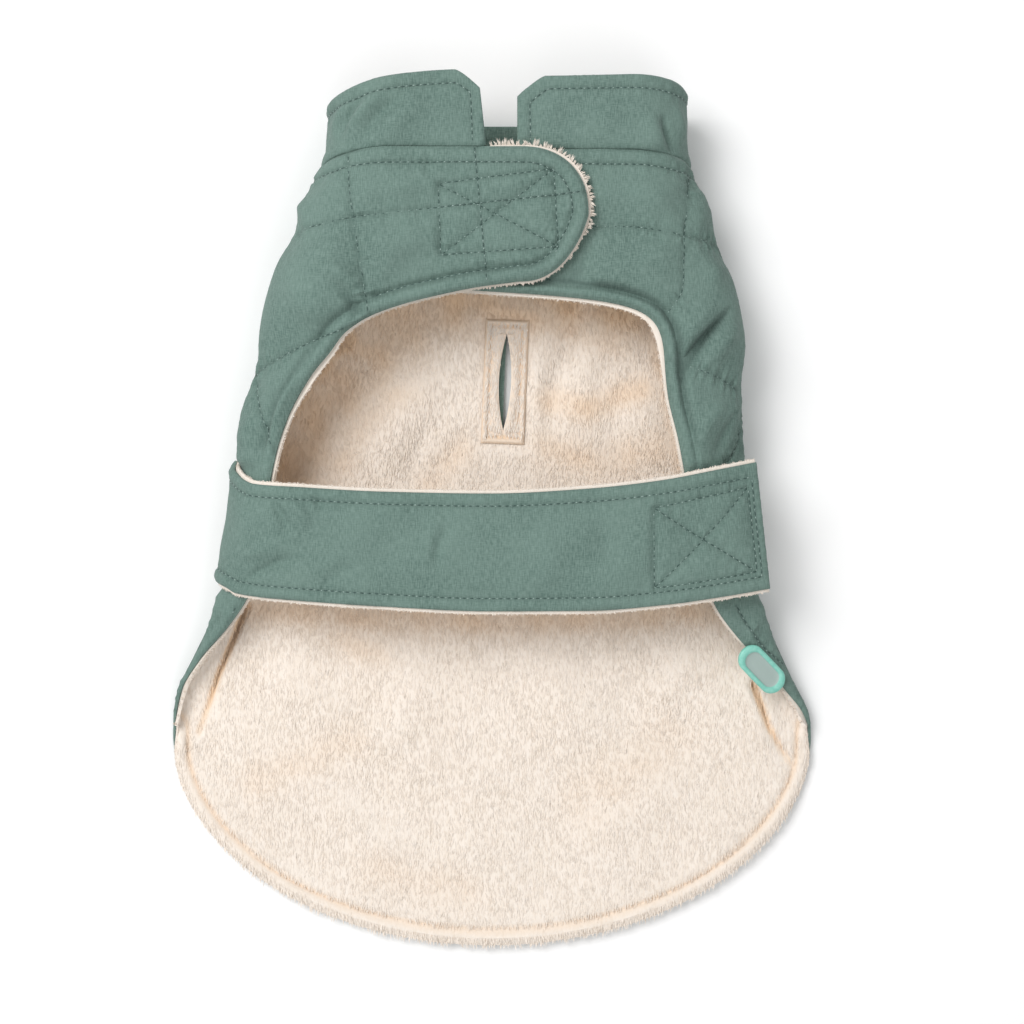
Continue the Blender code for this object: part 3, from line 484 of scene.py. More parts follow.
def arc_point(start, finish, start_turn, finish_turn, share):
    """A point along a round arc: a cubic curve whose two handles are chord / (3 cos^2(turn / 4))."""
    chord = np.hypot(finish[0] - start[0], finish[1] - start[1])
    handle = chord / (3.0 * np.cos((finish_turn - start_turn) / 4.0) ** 2)
    weights = ((1 - share) ** 3, 3 * share * (1 - share) ** 2, 3 * share ** 2 * (1 - share), share ** 3)
    lead = (start[0] + handle * np.cos(start_turn), start[1] + handle * np.sin(start_turn))
    follow = (finish[0] - handle * np.cos(finish_turn), finish[1] - handle * np.sin(finish_turn))
    corners = (start, lead, follow, finish)
    return [sum(w * c[axis] for w, c in zip(weights, corners)) for axis in (0, 1)]


def half_form(side, girth, y):
    """Bend one side: flat base, lower arc to the widest line, upper arc to the top, then straight on."""
    here = section(side, y)
    level = np.zeros_like(girth)
    lower = np.clip((girth - here["crease"]) / (here["seam"] - here["crease"]), 0.0, 1.0)
    upper = np.clip((girth - here["seam"]) / (here["edge"] - here["seam"]), 0.0, 1.0)
    run = np.maximum(girth - here["edge"], 0.0)
    crease = (here["crease"], level)
    widest = (here["side_x"], here["side_z"])
    top = (here["edge_x"], here["edge_z"])
    low_x, low_z = arc_point(crease, widest, level, here["side_turn"], lower)
    top_x, top_z = arc_point(widest, top, here["side_turn"], here["edge_turn"], upper)
    on_top = girth > here["seam"]
    out = np.where(on_top, top_x + run * np.cos(here["edge_turn"]), low_x)
    up = np.where(on_top, top_z + run * np.sin(here["edge_turn"]), low_z)
    out = np.where(girth < here["crease"], girth, out)
    return FRONTS[side]["sign"] * out, np.asarray(y, dtype=float) + level, up


def form(girth, y):
    """Bend flat points into the coat's outer face."""
    girth, y = np.broadcast_arrays(np.asarray(girth, dtype=float), np.asarray(y, dtype=float))
    left = half_form("left", -girth, y)
    right = half_form("right", girth, y)
    return np.stack([np.where(girth < 0.0, a, b) for a, b in zip(left, right)], axis=-1)


def inward(girth, y, reach=0.4):
    """Direction into the coat: the cross product of the surface's slopes across and along it."""
    across = form(girth + reach, y) - form(girth - reach, y)
    along = form(girth, y + reach) - form(girth, y - reach)
    return unit(np.cross(across, along))


def thinning(girth, y):
    """Share of the full thickness, less where the turned-up side runs out towards the hem."""
    low_down = smooth_step((-42.0 - y) / 34.0)
    crease = both_sides("crease", girth, y)
    turned_up = smooth_step((np.abs(girth) - crease + 14.0) / 16.0)
    return 1.0 - 0.42 * low_down * turned_up


def over_top(side, y):
    """Girth plus plan x, which is the same for every place on a side's flat top at height y."""
    here = section(side, y)
    return here["edge"] + here["edge_x"]


def turned_over(side, x, y):
    """Girth of a place on the flat top from its plan x, or its plan x from its girth."""
    return FRONTS[side]["sign"] * over_top(side, y) - x


def both_sides(column, girth, y):
    """A section column at height y, from the side that each girth lies on."""
    return np.where(girth < 0, section("left", y)[column], section("right", y)[column])


def neck_y(girth):
    """Height of the neck seam: low at the back, rising round the sides to the level front."""
    crease = both_sides("crease", girth, np.array(NECK_LEVEL))
    edge = both_sides("edge", girth, np.array(NECK_LEVEL))
    rise = smooth_step((np.abs(girth) - 0.6 * crease) / (edge - 0.6 * crease))
    return NECK_BACK_Y + (NECK_FRONT_Y - NECK_BACK_Y) * rise


def neck_crossing(side):
    """Girth and height where the side seam meets the neck seam, found by repeated substitution."""
    y = np.array(NECK_LEVEL)
    for _ in range(12):
        girth = FRONTS[side]["sign"] * section(side, y)["seam"]
        y = neck_y(girth)
    return float(girth), float(y)


def seam_heights(side, rows):
    """Heights along the side seam, from the hem corner to the neck."""
    return np.linspace(CORNER_Y, neck_crossing(side)[1] - NECK_GAP / 2, rows + 1)


def moved_sideways(path, distance):
    """A flat path moved square to itself, to its right, by a distance."""
    run = unit(np.gradient(path, axis=0))
    return path + np.stack([run[:, 1], -run[:, 0]], axis=-1) * np.reshape(distance, (-1, 1))


def back_pattern(columns, rows, side_gap, rim):
    """The back, flat: a patch blended between the neck seam, the hem's half ellipse and two side seams.

    rim moves the hem outwards. The columns crowd towards the sides, where the cloth turns up.
    """
    across = np.linspace(-1.0, 1.0, columns + 1)
    across = np.sign(across) * (1.0 - (1.0 - np.abs(across)) ** CROWDING)
    fall = np.linspace(0.0, 1.0, rows + 1)[:, None, None]
    edges = {}
    for side in FRONTS:
        sign = FRONTS[side]["sign"]
        y = seam_heights(side, rows)[::-1]
        edges[side] = np.stack([sign * (section(side, y)["seam"] - side_gap / 2), y], axis=-1)
    corner_left = edges["left"][-1].copy()
    corner_right = edges["right"][-1].copy()
    angle = across * np.pi / 2
    reach = np.where(across < 0, -corner_left[0], corner_right[0])
    drop = HALF_LENGTH + CORNER_Y - RIM
    hem = np.stack([reach * np.sin(angle), CORNER_Y - drop * np.cos(angle)], axis=-1)
    width = np.where(across < 0, -edges["left"][0, 0], edges["right"][0, 0])
    neck = np.stack([across * width, neck_y(across * width) - NECK_GAP / 2], axis=-1)
    share = ((across + 1.0) / 2.0)[None, :, None]
    up_and_down = (1 - fall) * neck[None] + fall * hem[None]
    side_to_side = (1 - share) * edges["left"][:, None] + share * edges["right"][:, None]
    top_corners = (1 - share) * neck[0] + share * neck[-1]
    low_corners = (1 - share) * hem[0] + share * hem[-1]
    flat = up_and_down + side_to_side - (1 - fall) * top_corners - fall * low_corners
    flat[-1] = moved_sideways(flat[-1], rim * smooth_step(4.0 * np.cos(angle)))
    return flat


def eased(path):
    """A path with its corners rounded: each place is a weighted mean of the places within EASE of it."""
    step = np.hypot(*np.diff(path, axis=0).T).mean()
    reach = max(int(EASE / step), 1)
    weights = np.hanning(2 * reach + 3)[1:-1]
    padded = np.vstack([2 * path[0] - path[reach:0:-1], path, 2 * path[-1] - path[-2:-reach - 2:-1]])
    return np.stack([np.convolve(padded[:, k], weights / weights.sum(), "valid") for k in range(2)], axis=-1)


def flap_halves(side, ribs):
    """A flap's two halves, flat: x = reach sin(t)^(2 / squareness) and y = half height cos(t)^power."""
    maker = FRONTS[side]
    start_x, low_y = maker["chest_edge"][-1]
    top_y = NECK_FRONT_Y - NECK_GAP / 2
    power = 2.0 / maker["flap_squareness"]
    angle = np.linspace(0.0, FLAP_LAST_RIB, ribs + 1)[1:]
    middle = (top_y + low_y) / 2.0
    tall = (top_y - low_y) / 2.0
    x = start_x - maker["sign"] * maker["flap_reach"] * np.sin(angle) ** power
    upper = middle + tall * np.cos(angle) ** power
    lower = middle - tall * np.cos(angle) ** FLAP_LOWER_POWER
    return [np.stack([turned_over(side, x, y), y], axis=-1) for y in (upper, lower)]


def past_collar(side, path):
    """How far flat places on a front lie past the collar's end, towards and over the flap's tip."""
    sign = FRONTS[side]["sign"]
    return -sign * (turned_over(side, path[:, 0], path[:, 1]) - COLLAR_ENDS[sign > 0])


def front_outline(side, ribs, side_gap, rim):
    """A front's two long edges, flat.

    The outer one follows the side and neck seams and the flap's upper half. The inner, free one runs from
    the hem corner round the arm and along the chest to the flap's lower half. rim moves the free edge out.
    """
    sign = FRONTS[side]["sign"]
    seam_ribs, chest_ribs, flap_ribs = ribs
    chest = np.array(FRONTS[side]["chest_edge"])
    outer_y = seam_heights(side, seam_ribs)
    inner_y = np.linspace(CORNER_Y, chest[0, 1], seam_ribs + 1)
    outer = np.stack([sign * (section(side, outer_y)["seam"] + side_gap / 2), outer_y], axis=-1)
    inner = np.stack([sign * section(side, inner_y)["edge"], inner_y], axis=-1)

    step = np.linspace(0.0, 1.0, chest_ribs + 1)[1:]
    neck_girth = outer[-1, 0] + (turned_over(side, chest[-1, 0], NECK_FRONT_Y) - outer[-1, 0]) * step
    outer = np.vstack([outer, np.stack([neck_girth, neck_y(neck_girth) - NECK_GAP / 2], axis=-1)])
    length = lengths(chest)
    chest_x, chest_y = (through_rows(length, chest[:, k], step * length[-1]) for k in range(2))
    inner = np.vstack([inner, np.stack([turned_over(side, chest_x, chest_y), chest_y], axis=-1)])

    upper, lower = flap_halves(side, flap_ribs)
    outer = np.vstack([outer, upper])
    inner = np.vstack([eased(inner), lower])
    edge = np.vstack([inner, outer[::-1]])
    on_inner = np.arange(len(edge)) < len(inner)
    free = np.where(on_inner, 1.0, smooth_step(past_collar(side, edge) / 3.0))
    for where, half_width, swell in RIM_SWELLS[side]:
        free = free + swell * hump(edge[:, 1] - where, half_width) * on_inner / FRONT_RIM
    edge = moved_sideways(edge, sign * rim * free)
    return edge[len(inner):][::-1], edge[:len(inner)]


def front_pattern(side, ribs, columns, side_gap, rim):
    """A front, flat: straight ribs between its two long edges, closer together towards both of them."""
    outer, inner = front_outline(side, ribs, side_gap, rim)
    share = np.linspace(0.0, 1.0, columns + 1)
    share = (share - 0.09 * np.sin(2 * np.pi * share))[None, :, None]
    return outer[:, None] * (1 - share) + inner[:, None] * share


def collar_ends():
    """Girths of the collar's two front ends."""
    return [float(turned_over(side, x, np.array(NECK_FRONT_Y))) for side, x in zip(FRONTS, COLLAR_ENDS)]


def collar_pattern(columns, rows):
    """The collar, flat, from its left front end round the back to the right one."""
    first, last = collar_ends()
    share = np.linspace(0.0, 1.0, columns + 1)
    share = share + 0.012 * np.sin(2 * np.pi * share)
    girth = first + (last - first) * share
    bottom = neck_y(girth) + NECK_GAP / 2
    up = np.linspace(0.0, 1.0, rows + 1)[:, None]
    near_end = np.clip(1.0 - (girth - first) / 22.0, 0.0, 1.0)
    leaning = girth + COLLAR_LEAN * up * near_end
    return np.stack([leaning, bottom + (collar_top(girth) - bottom) * up], axis=-1)


def collar_top(girth):
    """Height of the collar's top edge, which slants down at each end and has shallow dips."""
    first, last = collar_ends()
    lower = np.zeros_like(girth)
    for distance, (reach, fall) in zip((girth - first, last - girth), COLLAR_CORNERS):
        lower = lower + fall * np.clip(1.0 - distance / reach, 0.0, 1.0) ** 1.25
    for where, half_width, depth in COLLAR_DIPS:
        lower = lower + depth * hump(girth - first - where, half_width)
    return neck_y(girth) + COLLAR_HEIGHT - lower


def strap_face(rows, columns):
    """The strap's outer face: rows moved out from the left front, then the table's rows across the coat."""
    share = np.linspace(0.0, 1.0, columns + 1)
    keys = []
    lift = STRAP_LIFT + STRAP_PILE + SEAM_GAP + STRAP_SHELL
    for way, upper_y, lower_y in STRAP_ON_COAT:
        y = upper_y + (lower_y - upper_y) * share
        here = section("left", y)
        girth = -(here["seam"] + way * (here["edge"] - here["seam"]))
        keys.append(form(girth, y) - inward(girth, y) * lift)
    for x, upper_y, upper_z, lower_y, lower_z in STRAP_ROWS:
        y = upper_y + (lower_y - upper_y) * share
        z = upper_z + (lower_z - upper_z) * share
        lean = STRAP_END_LEAN * smooth_step((x - 60.0) / 50.0)
        keys.append(np.stack([x + lean * (2 * share - 1), y, z], axis=-1))
    keys = np.array(keys)
    length = lengths(keys[:, columns // 2])
    wanted = np.linspace(0.0, length[-1], rows + 1)
    face = np.empty((rows + 1, columns + 1, 3))
    for column in range(columns + 1):
        for axis in range(3):
            face[:, column, axis] = through_rows(length, keys[:, column, axis], wanted)
    return face


def face_inward(face):
    """Direction into a face given as a grid of points."""
    return unit(np.cross(np.gradient(face, axis=0), np.gradient(face, axis=1)))


# ---- lines on the cloth, and the relief that they make ----

def nearest(points, path):
    """Distance from flat points to a path, and how far along the path its nearest place is."""
    path = np.asarray(path, dtype=float)
    start = path[:-1]
    run = path[1:] - start
    size = np.maximum((run ** 2).sum(1), 1e-9)
    before = np.concatenate([[0.0], np.cumsum(np.sqrt(size))[:-1]])
    flat = points.reshape(-1, 2)
    best = np.full(len(flat), 1e9)
    along = np.zeros(len(flat))
    for i in range(len(start)):
        away = flat - start[i]
        share = np.clip(away @ run[i] / size[i], 0.0, 1.0)
        distance = np.hypot(away[:, 0] - share * run[i, 0], away[:, 1] - share * run[i, 1])
        closer = distance < best
        best = np.where(closer, distance, best)
        along = np.where(closer, before[i] + share * np.sqrt(size[i]), along)
    return best.reshape(points.shape[:-1]), along.reshape(points.shape[:-1])


def hump(distance, half_width):
    """A soft ridge across a line: exp(-(distance / half width)^2)."""
    return np.exp(-(distance / half_width) ** 2)


def creases(points, table):
    """Sum of the table's creases: a soft, bowed ridge along each line, which dies out at both ends."""
    total = np.zeros(points.shape[:-1])
    for start, finish, half_width, height in table:
        run = np.subtract(finish, start)
        size = np.hypot(*run)
        away = points - np.array(start)
        share = (away @ run) / size ** 2
        off = (away[..., 0] * run[1] - away[..., 1] * run[0]) / size
        bow = 0.08 * size * np.sin(np.pi * np.clip(share, 0.0, 1.0))
        ends = np.clip(1.0 - np.abs(2.0 * share - 1.0) ** 2, 0.0, 1.0)
        total = total + height * hump(off - bow, half_width * (0.7 + 0.5 * share)) * ends
    return total


def undulation(points, wave, height, turn=0.0):
    """Gentle unevenness: three crossing sine waves of unlike length, each bent by another."""
    u = points[..., 0] * np.cos(turn) + points[..., 1] * np.sin(turn)
    v = points[..., 1] * np.cos(turn) - points[..., 0] * np.sin(turn)
    k = 2.0 * np.pi / wave
    one = np.sin(k * u + 1.3 * np.sin(0.61 * k * v + 0.4))
    two = np.sin(0.73 * k * v + 1.1 * np.sin(0.47 * k * u + 2.1) + 1.7)
    three = np.sin(1.37 * k * (u + 0.6 * v) + 0.9)
    return height * (0.45 * one + 0.35 * two + 0.2 * three)


def pucker(distance, along, height):
    """Small gathers square to a row of stitches, which fade a few millimetres away from it."""
    wave = np.sin(along * 1.35 + 1.2 * np.sin(along * 0.43)) + 0.5 * np.sin(along * 2.3 + 0.8)
    return height * wave * np.exp(-(distance - 1.6) ** 2 / 9.0) * smooth_step(distance / 1.4)


def sewn(points, paths, puff):
    """Wadded cloth between rows of stitches: it swells as 1 - exp(-(distance / reach)^2) from the nearest
    row, dips at the row itself and gathers beside it. Also returns the distance to the nearest row."""
    height, reach, groove, gather = puff
    closest = np.full(points.shape[:-1], 1e9)
    detail = np.zeros(points.shape[:-1])
    for path in paths:
        distance, along = nearest(points, path)
        closest = np.minimum(closest, distance)
        detail = detail + pucker(distance, along, gather) - groove * hump(distance, 0.85)
    return height * (1.0 - hump(closest, reach)) + detail, closest


def dense(path, step):
    """A path with places a step apart."""
    path = np.asarray(path, dtype=float)
    length = lengths(path)
    wanted = np.linspace(0.0, length[-1], max(int(round(length[-1] / step)), 1) + 1)
    return read_at(wanted, length, path)


def to_across(side, flat):
    """Flat (girth, y) places on a front as (across, y)."""
    return np.stack([over_top(side, flat[..., 1]) - np.abs(flat[..., 0]), flat[..., 1]], axis=-1)


def to_girth(side, places):
    """(across, y) places on a front as (girth, y)."""
    girth = FRONTS[side]["sign"] * (over_top(side, places[..., 1]) - places[..., 0])
    return np.stack([girth, places[..., 1]], axis=-1)


def front_lines(side):
    """Every line on a front, as (across, y) paths: its edges and its rows of stitches."""
    sign = FRONTS[side]["sign"]
    outer, inner = front_outline(side, LINE_RIBS, SHELL_SIDE_GAP, 0.0)
    collar_end = sign * COLLAR_ENDS[sign > 0]
    outer = to_across(side, outer)
    inner = to_across(side, inner)
    neck_across = np.linspace(collar_end, 96.0, 30)
    neck_girth = to_girth(side, np.stack([neck_across, np.full(30, NECK_FRONT_Y)], axis=-1))[:, 0]
    neck = to_across(side, np.stack([neck_girth, neck_y(neck_girth)], axis=-1))
    round_end = outer[(outer[:, 0] < collar_end) & (outer[:, 1] > ABOVE_ARM)][::-1]
    edge = np.vstack([inner, round_end])
    whole = set_in(np.vstack([edge, neck]), EDGE_STITCH[side])
    threaded = whole[first_threaded(side, whole):]
    return {"edge": edge, "topstitch": threaded, "groove": set_in(inner, EDGE_STITCH[side]),
            "seam": outer[:LINE_RIBS[0] + 1], "neck": neck, "plush_edge": plush_edge(side),
            "quilt": [dense(path, 4.0) for path in QUILT[side]] + wing_rows(side)}


def plush_edge(side):
    """The free edge of a front's plush, flat: from the hem corner round to where the collar covers it."""
    upper, lower = front_outline(side, EDGE_RIBS, LINING_SIDE_GAP, FRONT_RIM)
    edge = np.vstack([lower, upper[::-1]])
    bare = (past_collar(side, edge) > 1.0) & (edge[:, 1] > ABOVE_ARM)
    return edge[(np.arange(len(edge)) < len(lower)) | bare]


def wing_rows(side):
    """The rows below the strap, found on the turned-up side from their places in plan."""
    rows = []
    for path in WING_QUILT[side]:
        places = dense(path, 4.0)
        here = section(side, places[:, 1])
        share = np.linspace(0.0, 1.0, 80)[:, None]
        girth = here["seam"] + (here["edge"] - here["seam"]) * share
        x = form(FRONTS[side]["sign"] * girth, np.broadcast_to(places[:, 1], girth.shape))[..., 0]
        pick = np.abs(x - places[:, 0]).argmin(axis=0)
        found = FRONTS[side]["sign"] * girth[pick, np.arange(len(places))]
        rows.append(to_across(side, np.stack([found, places[:, 1]], axis=-1)))
    return rows


def set_in(edge, distance, allowance=0.4):
    """A path at a distance inside a cut's edge, without the places that come nearer to it at a corner."""
    inside = moved_sideways(edge, distance)
    reach, _ = nearest(inside, edge)
    return inside[reach > distance - allowance]


def first_threaded(side, path):
    """Where along an inside path its thread begins: on the chest, past the arm's curve."""
    return int(np.argmax((path[:, 0] < THREAD_FROM[side]) & (path[:, 1] > 60.0)))


def box_paths(corners):
    """Four sides and two diagonals of a cross-stitched box."""
    a, b, c, d = (np.array(corner) for corner in corners)
    return [np.array([a, b, c, d, a]), np.array([a, c]), np.array([b, d])]


def front_relief(side, places):
    """How far a front's cloth stands out past its flat form, with how much painted shade darkens it there:
    along the rows of stitches, in the hollows of the creases and in the groove beside the arm's edge.
    """
    lines = LINES[side]
    swell, closest = sewn(places, lines["quilt"] + [lines["topstitch"]], FRONT_PUFF)
    from_edge, edge_along = nearest(places, lines["edge"])
    from_seam, seam_along = nearest(places, lines["seam"])
    from_neck, _ = nearest(places, lines["neck"])
    # painted shade along the rows of stitches
    stitched = hump(closest, STITCH_SHADE_HALF_WIDTH)
    if side == "left":
        box, box_distance = sewn(places, box_paths(FLAP_BOX), FLAP_BOX_PUFF)
        stitched = np.maximum(stitched, hump(box_distance, STITCH_SHADE_HALF_WIDTH))
        across, y = places[..., 0], places[..., 1]
        inside = smooth_step((24.0 - across) / 4.0) * smooth_step((y - 104.0) / 5.0)
        swell = swell * (1 - 0.8 * inside) + box * inside
    close_to_edge = np.clip(from_edge / EDGE_STITCH[side], 0.0, 1.0)
    rolled = EDGE_BAND[side] * smooth_step((places[..., 1] + 20.0) / 60.0)
    band = (0.25 + rolled) * np.sin(np.pi * close_to_edge) + pucker(2.0 + 0 * from_edge, edge_along, 0.1)
    in_band = 1.0 - smooth_step((from_edge - EDGE_STITCH[side] + 1.2) / 1.6)
    to_groove, _ = nearest(places, lines["groove"])
    groove = EDGE_GROOVE[side] * smooth_step((places[..., 1] - 20.0) / 40.0)
    relief = swell * (1 - in_band) + band * in_band - groove * hump(to_groove, 1.7)
    relief = relief * (1 - hump(from_seam, 3.5)) * (1 - 0.8 * hump(from_neck, 2.4))
    relief = relief + pucker(from_seam, seam_along, 0.2)
    folds = CREASE_DEPTH * creases(places, FRONT_CREASES[side]) * smooth_step((from_edge - 1.0) / 4.0)
    relief = relief + folds
    # painted shade in the creases' hollows and in the groove beside the arm's edge, joined to the stitches'
    # painted shade
    shaded = np.clip(-folds / 3.0, 0.0, 1.0) + 0.45 * groove * hump(to_groove, 1.2)
    stitched = np.clip(np.maximum(stitched, 1.6 * shaded), 0.0, 2.0)
    relief = relief + undulation(places, 46.0, 0.5, 0.5) + undulation(places, 17.0, 0.16, -0.8)
    relief = relief * free_cloth(side, places) - 0.8 * hump(from_edge, 0.9) - 0.9 * hump(from_neck, 1.0)
    return relief, stitched


def free_cloth(side, places):
    """1 where a front is free to swell, falling to nearly nothing under the strap and under the flap."""
    across, y = places[..., 0], places[..., 1]
    if side == "left":
        here = section(side, y)
        over_side = smooth_step((across - here["edge_x"] - 1.0) / 6.0)
        under_strap = smooth_step((25.0 - y) / 5.0) * smooth_step((y + 32.0) / 5.0) * over_side
        at_edge = smooth_step((18.0 - y) / 6.0) * smooth_step((y + 34.0) / 5.0)
        return 1.0 - 0.93 * np.maximum(under_strap, at_edge)
    under_flap = smooth_step((44.0 - across) / 5.0) * smooth_step((y - 93.0) / 5.0)
    under_strap = smooth_step((23.0 - y) / 5.0) * smooth_step((y + 38.0) / 5.0)
    return (1.0 - 0.96 * under_flap) * (1.0 - 0.93 * under_strap)


def back_relief(flat):
    """How far the back's cloth stands out: channels pressed in along the quilting where it lies on the
    surface, and a little swelling where it is turned up."""
    girth, y = flat[..., 0], flat[..., 1]
    closest = np.full(y.shape, 1e9)
    for line in BACK_QUILT_GIRTH:
        closest = np.minimum(closest, np.abs(girth - line))
    for line in BACK_QUILT_Y:
        closest = np.minimum(closest, np.abs(y - line))
    crease = both_sides("crease", girth, y)
    seam = both_sides("seam", girth, y)
    turned_up = smooth_step((np.abs(girth) - crease) / 8.0)
    to_seam = np.clip((seam - np.abs(girth)) / 12.0, 0.0, 1.0)
    channel = -1.0 * hump(closest, 4.5) - 0.35 * hump(closest, 0.9)
    return channel * (1 - turned_up) + turned_up * 1.1 * to_seam * (1 - hump(closest, 5.0))


# ---- meshes ----

def cloth(name, outer, inner, flat, finish, marks=None, mark_name="stitched"):
    """A closed wall of quads between two grids of points that match, with the flat pattern as its UV map.

    The rim joins the two grids all round. marks holds a number for each outer point, kept as an attribute.
    """
    rows, columns = outer.shape[:2]
    count = rows * columns
    index = np.arange(count).reshape(rows, columns)
    face = np.stack([index[:-1, :-1], index[:-1, 1:], index[1:, 1:], index[1:, :-1]], -1).reshape(-1, 4)
    loop = rim_of(index)
    ahead = np.roll(loop, -1)
    rim = np.stack([ahead, loop, loop + count, ahead + count], 1)
    faces = np.vstack([face, face[:, ::-1] + count, rim])
    normal = np.cross(outer[:-1, 1:] - outer[:-1, :-1], outer[1:, :-1] - outer[:-1, :-1])
    if (normal * (outer - inner)[:-1, :-1]).sum() < 0:
        faces = faces[:, ::-1]
    points = np.vstack([outer.reshape(-1, 3), inner.reshape(-1, 3)])
    piece = make_mesh(name, points, faces, finish)
    place = np.vstack([flat.reshape(-1, 2)] * 2) * MM
    paint_flat(piece.data, place)
    if marks is not None:
        mark(piece.data, mark_name, np.concatenate([marks.ravel(), marks.ravel()]))
    return piece


def make_mesh(name, points, faces, finish):
    """A smooth mesh object from points in millimetres, faces of one size, and a finish."""
    mesh = bpy.data.meshes.new(name)
    points = np.asarray(points, dtype=float)
    faces = np.asarray(faces)
    corners = faces.shape[1]
    mesh.vertices.add(len(points))
    mesh.vertices.foreach_set("co", (points * MM).astype(np.float32).ravel())
    mesh.loops.add(faces.size)
    mesh.loops.foreach_set("vertex_index", faces.astype(np.int32).ravel())
    mesh.polygons.add(len(faces))
    mesh.polygons.foreach_set("loop_start", np.arange(0, faces.size, corners, dtype=np.int32))
    mesh.polygons.foreach_set("use_smooth", np.ones(len(faces), dtype=bool))
    mesh.update(calc_edges=True)
    mesh.validate()
    piece = bpy.data.objects.new(name, mesh)
    bpy.context.scene.collection.objects.link(piece)
    mesh.materials.append(finish)
    return piece


def paint_flat(mesh, place):
    """Give every corner of a mesh its vertex's flat place as UV, in metres."""
    layer_uv = mesh.uv_layers.new(name="flat")
    corner = np.empty(len(mesh.loops), dtype=np.int32)
    mesh.loops.foreach_get("vertex_index", corner)
    layer_uv.data.foreach_set("uv", place[corner].astype(np.float32).ravel())


def mark(mesh, name, values):
    """Keep a number for each vertex as an attribute."""
    attribute = mesh.attributes.new(name, "FLOAT", "POINT")
    attribute.data.foreach_set("value", np.asarray(values, dtype=np.float32))


def rounded(piece, width, segments=3):
    """Round a piece's rim edges."""
    bevel = piece.modifiers.new("rounded rim", "BEVEL")
    bevel.width = width * MM
    bevel.segments = segments
    bevel.limit_method = "ANGLE"
    bevel.angle_limit = np.radians(52)
    bevel.harden_normals = False


def seated(piece, nodes):
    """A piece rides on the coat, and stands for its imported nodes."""
    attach(piece, "root")
    if nodes:
        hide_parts(*nodes)


def thinned_depth(girth, y, depth):
    """A depth through the cloth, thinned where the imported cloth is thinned."""
    gap = SEAM_GAP if depth > SHELL + SEAM_GAP / 2 else 0.0
    if depth <= 0.0:
        return np.full_like(girth, depth)
    return (depth - gap) * thinning(girth, y) + gap


def bent(flat, depth, relief=0.0):
    """Flat points bent to a depth below the outer face, then moved out by a relief."""
    girth, y = flat[..., 0], flat[..., 1]
    amount = thinned_depth(girth, y, depth) - relief
    return form(girth, y) + inward(girth, y) * np.asarray(amount)[..., None]


# ---- relief of the collar and the strap, and places for stitches ----

def raised(flat, height):
    """Points of the outer face moved out by a height, with the direction out of it."""
    out = -inward(flat[..., 0], flat[..., 1])
    return form(flat[..., 0], flat[..., 1]) + out * height[..., None], out


def hemmed(body, from_edge, inset, distance, along, groove):
    """Cloth with a topstitched edge: its body, a low half-sine band between edge and stitches, a groove and
    small gathers at the row, which is inset from the edge and at a distance from each place."""
    band = 0.3 * np.sin(np.pi * np.clip(from_edge / inset, 0.0, 1.0))
    outside = 1 - smooth_step((from_edge - inset + 0.6) / 1.2)
    relief = body * (1 - outside) + band * outside - groove * hump(distance, 0.8)
    return relief + pucker(distance, along, 0.22)


def collar_relief(flat):
    """How far the collar's outer cloth stands out: soft between its topstitching and the neck seam."""
    girth, y = flat[..., 0], flat[..., 1]
    first, last = COLLAR_LINES["ends"]
    distance, along = nearest(flat, COLLAR_LINES["topstitch"])
    from_top = np.clip(collar_top(np.clip(girth, first, last)) - y, 0.0, None)
    from_neck = np.clip(y - neck_y(girth), 0.0, None)
    from_end = np.minimum(girth - first, last - girth)
    from_edge = np.clip(np.minimum(from_top, from_end), 0.0, None)
    body = 1.2 * (1 - hump(distance, 6.0)) * (1 - 0.7 * hump(from_neck, 3.0))
    relief = hemmed(body, from_edge, COLLAR_STITCH, distance, along, 0.4)
    folds = CREASE_DEPTH * creases(collar_plan(flat), COLLAR_CREASES)
    relief = relief + folds * smooth_step(from_edge / 4.0)
    relief = relief + undulation(flat, 38.0, 0.9, 0.3) * smooth_step(from_edge / 3.0)
    # the second value is painted shade along the topstitching
    return relief - 0.7 * hump(from_edge, 0.8) - 0.9 * hump(from_neck, 0.9), hump(distance, STITCH_SHADE_HALF_WIDTH)


def collar_plan(flat):
    """(plan x, y) of the collar's front parts, continued down over the sides."""
    girth = flat[..., 0]
    x = {side: turned_over(side, girth, np.array(NECK_FRONT_Y)) for side in FRONTS}
    return np.stack([np.where(girth < 0, x["left"], x["right"]), flat[..., 1]], axis=-1)


def collar_lines():
    """The collar's topstitching, flat: inside its two ends and its top edge."""
    first, last = collar_ends()
    feet = [[end, float(neck_y(np.array(end))) + 1.0] for end in (first, last)]
    girth = np.linspace(first, last, 240)
    edge = np.vstack([feet[0], np.stack([girth, collar_top(girth)], axis=-1), feet[1]])
    inside = set_in(edge, COLLAR_STITCH, 0.5)
    foot = [[inside[end, 0], feet[end][1]] for end in (0, -1)]
    return {"topstitch": np.vstack([foot[0], inside, foot[1]]), "ends": (first, last)}


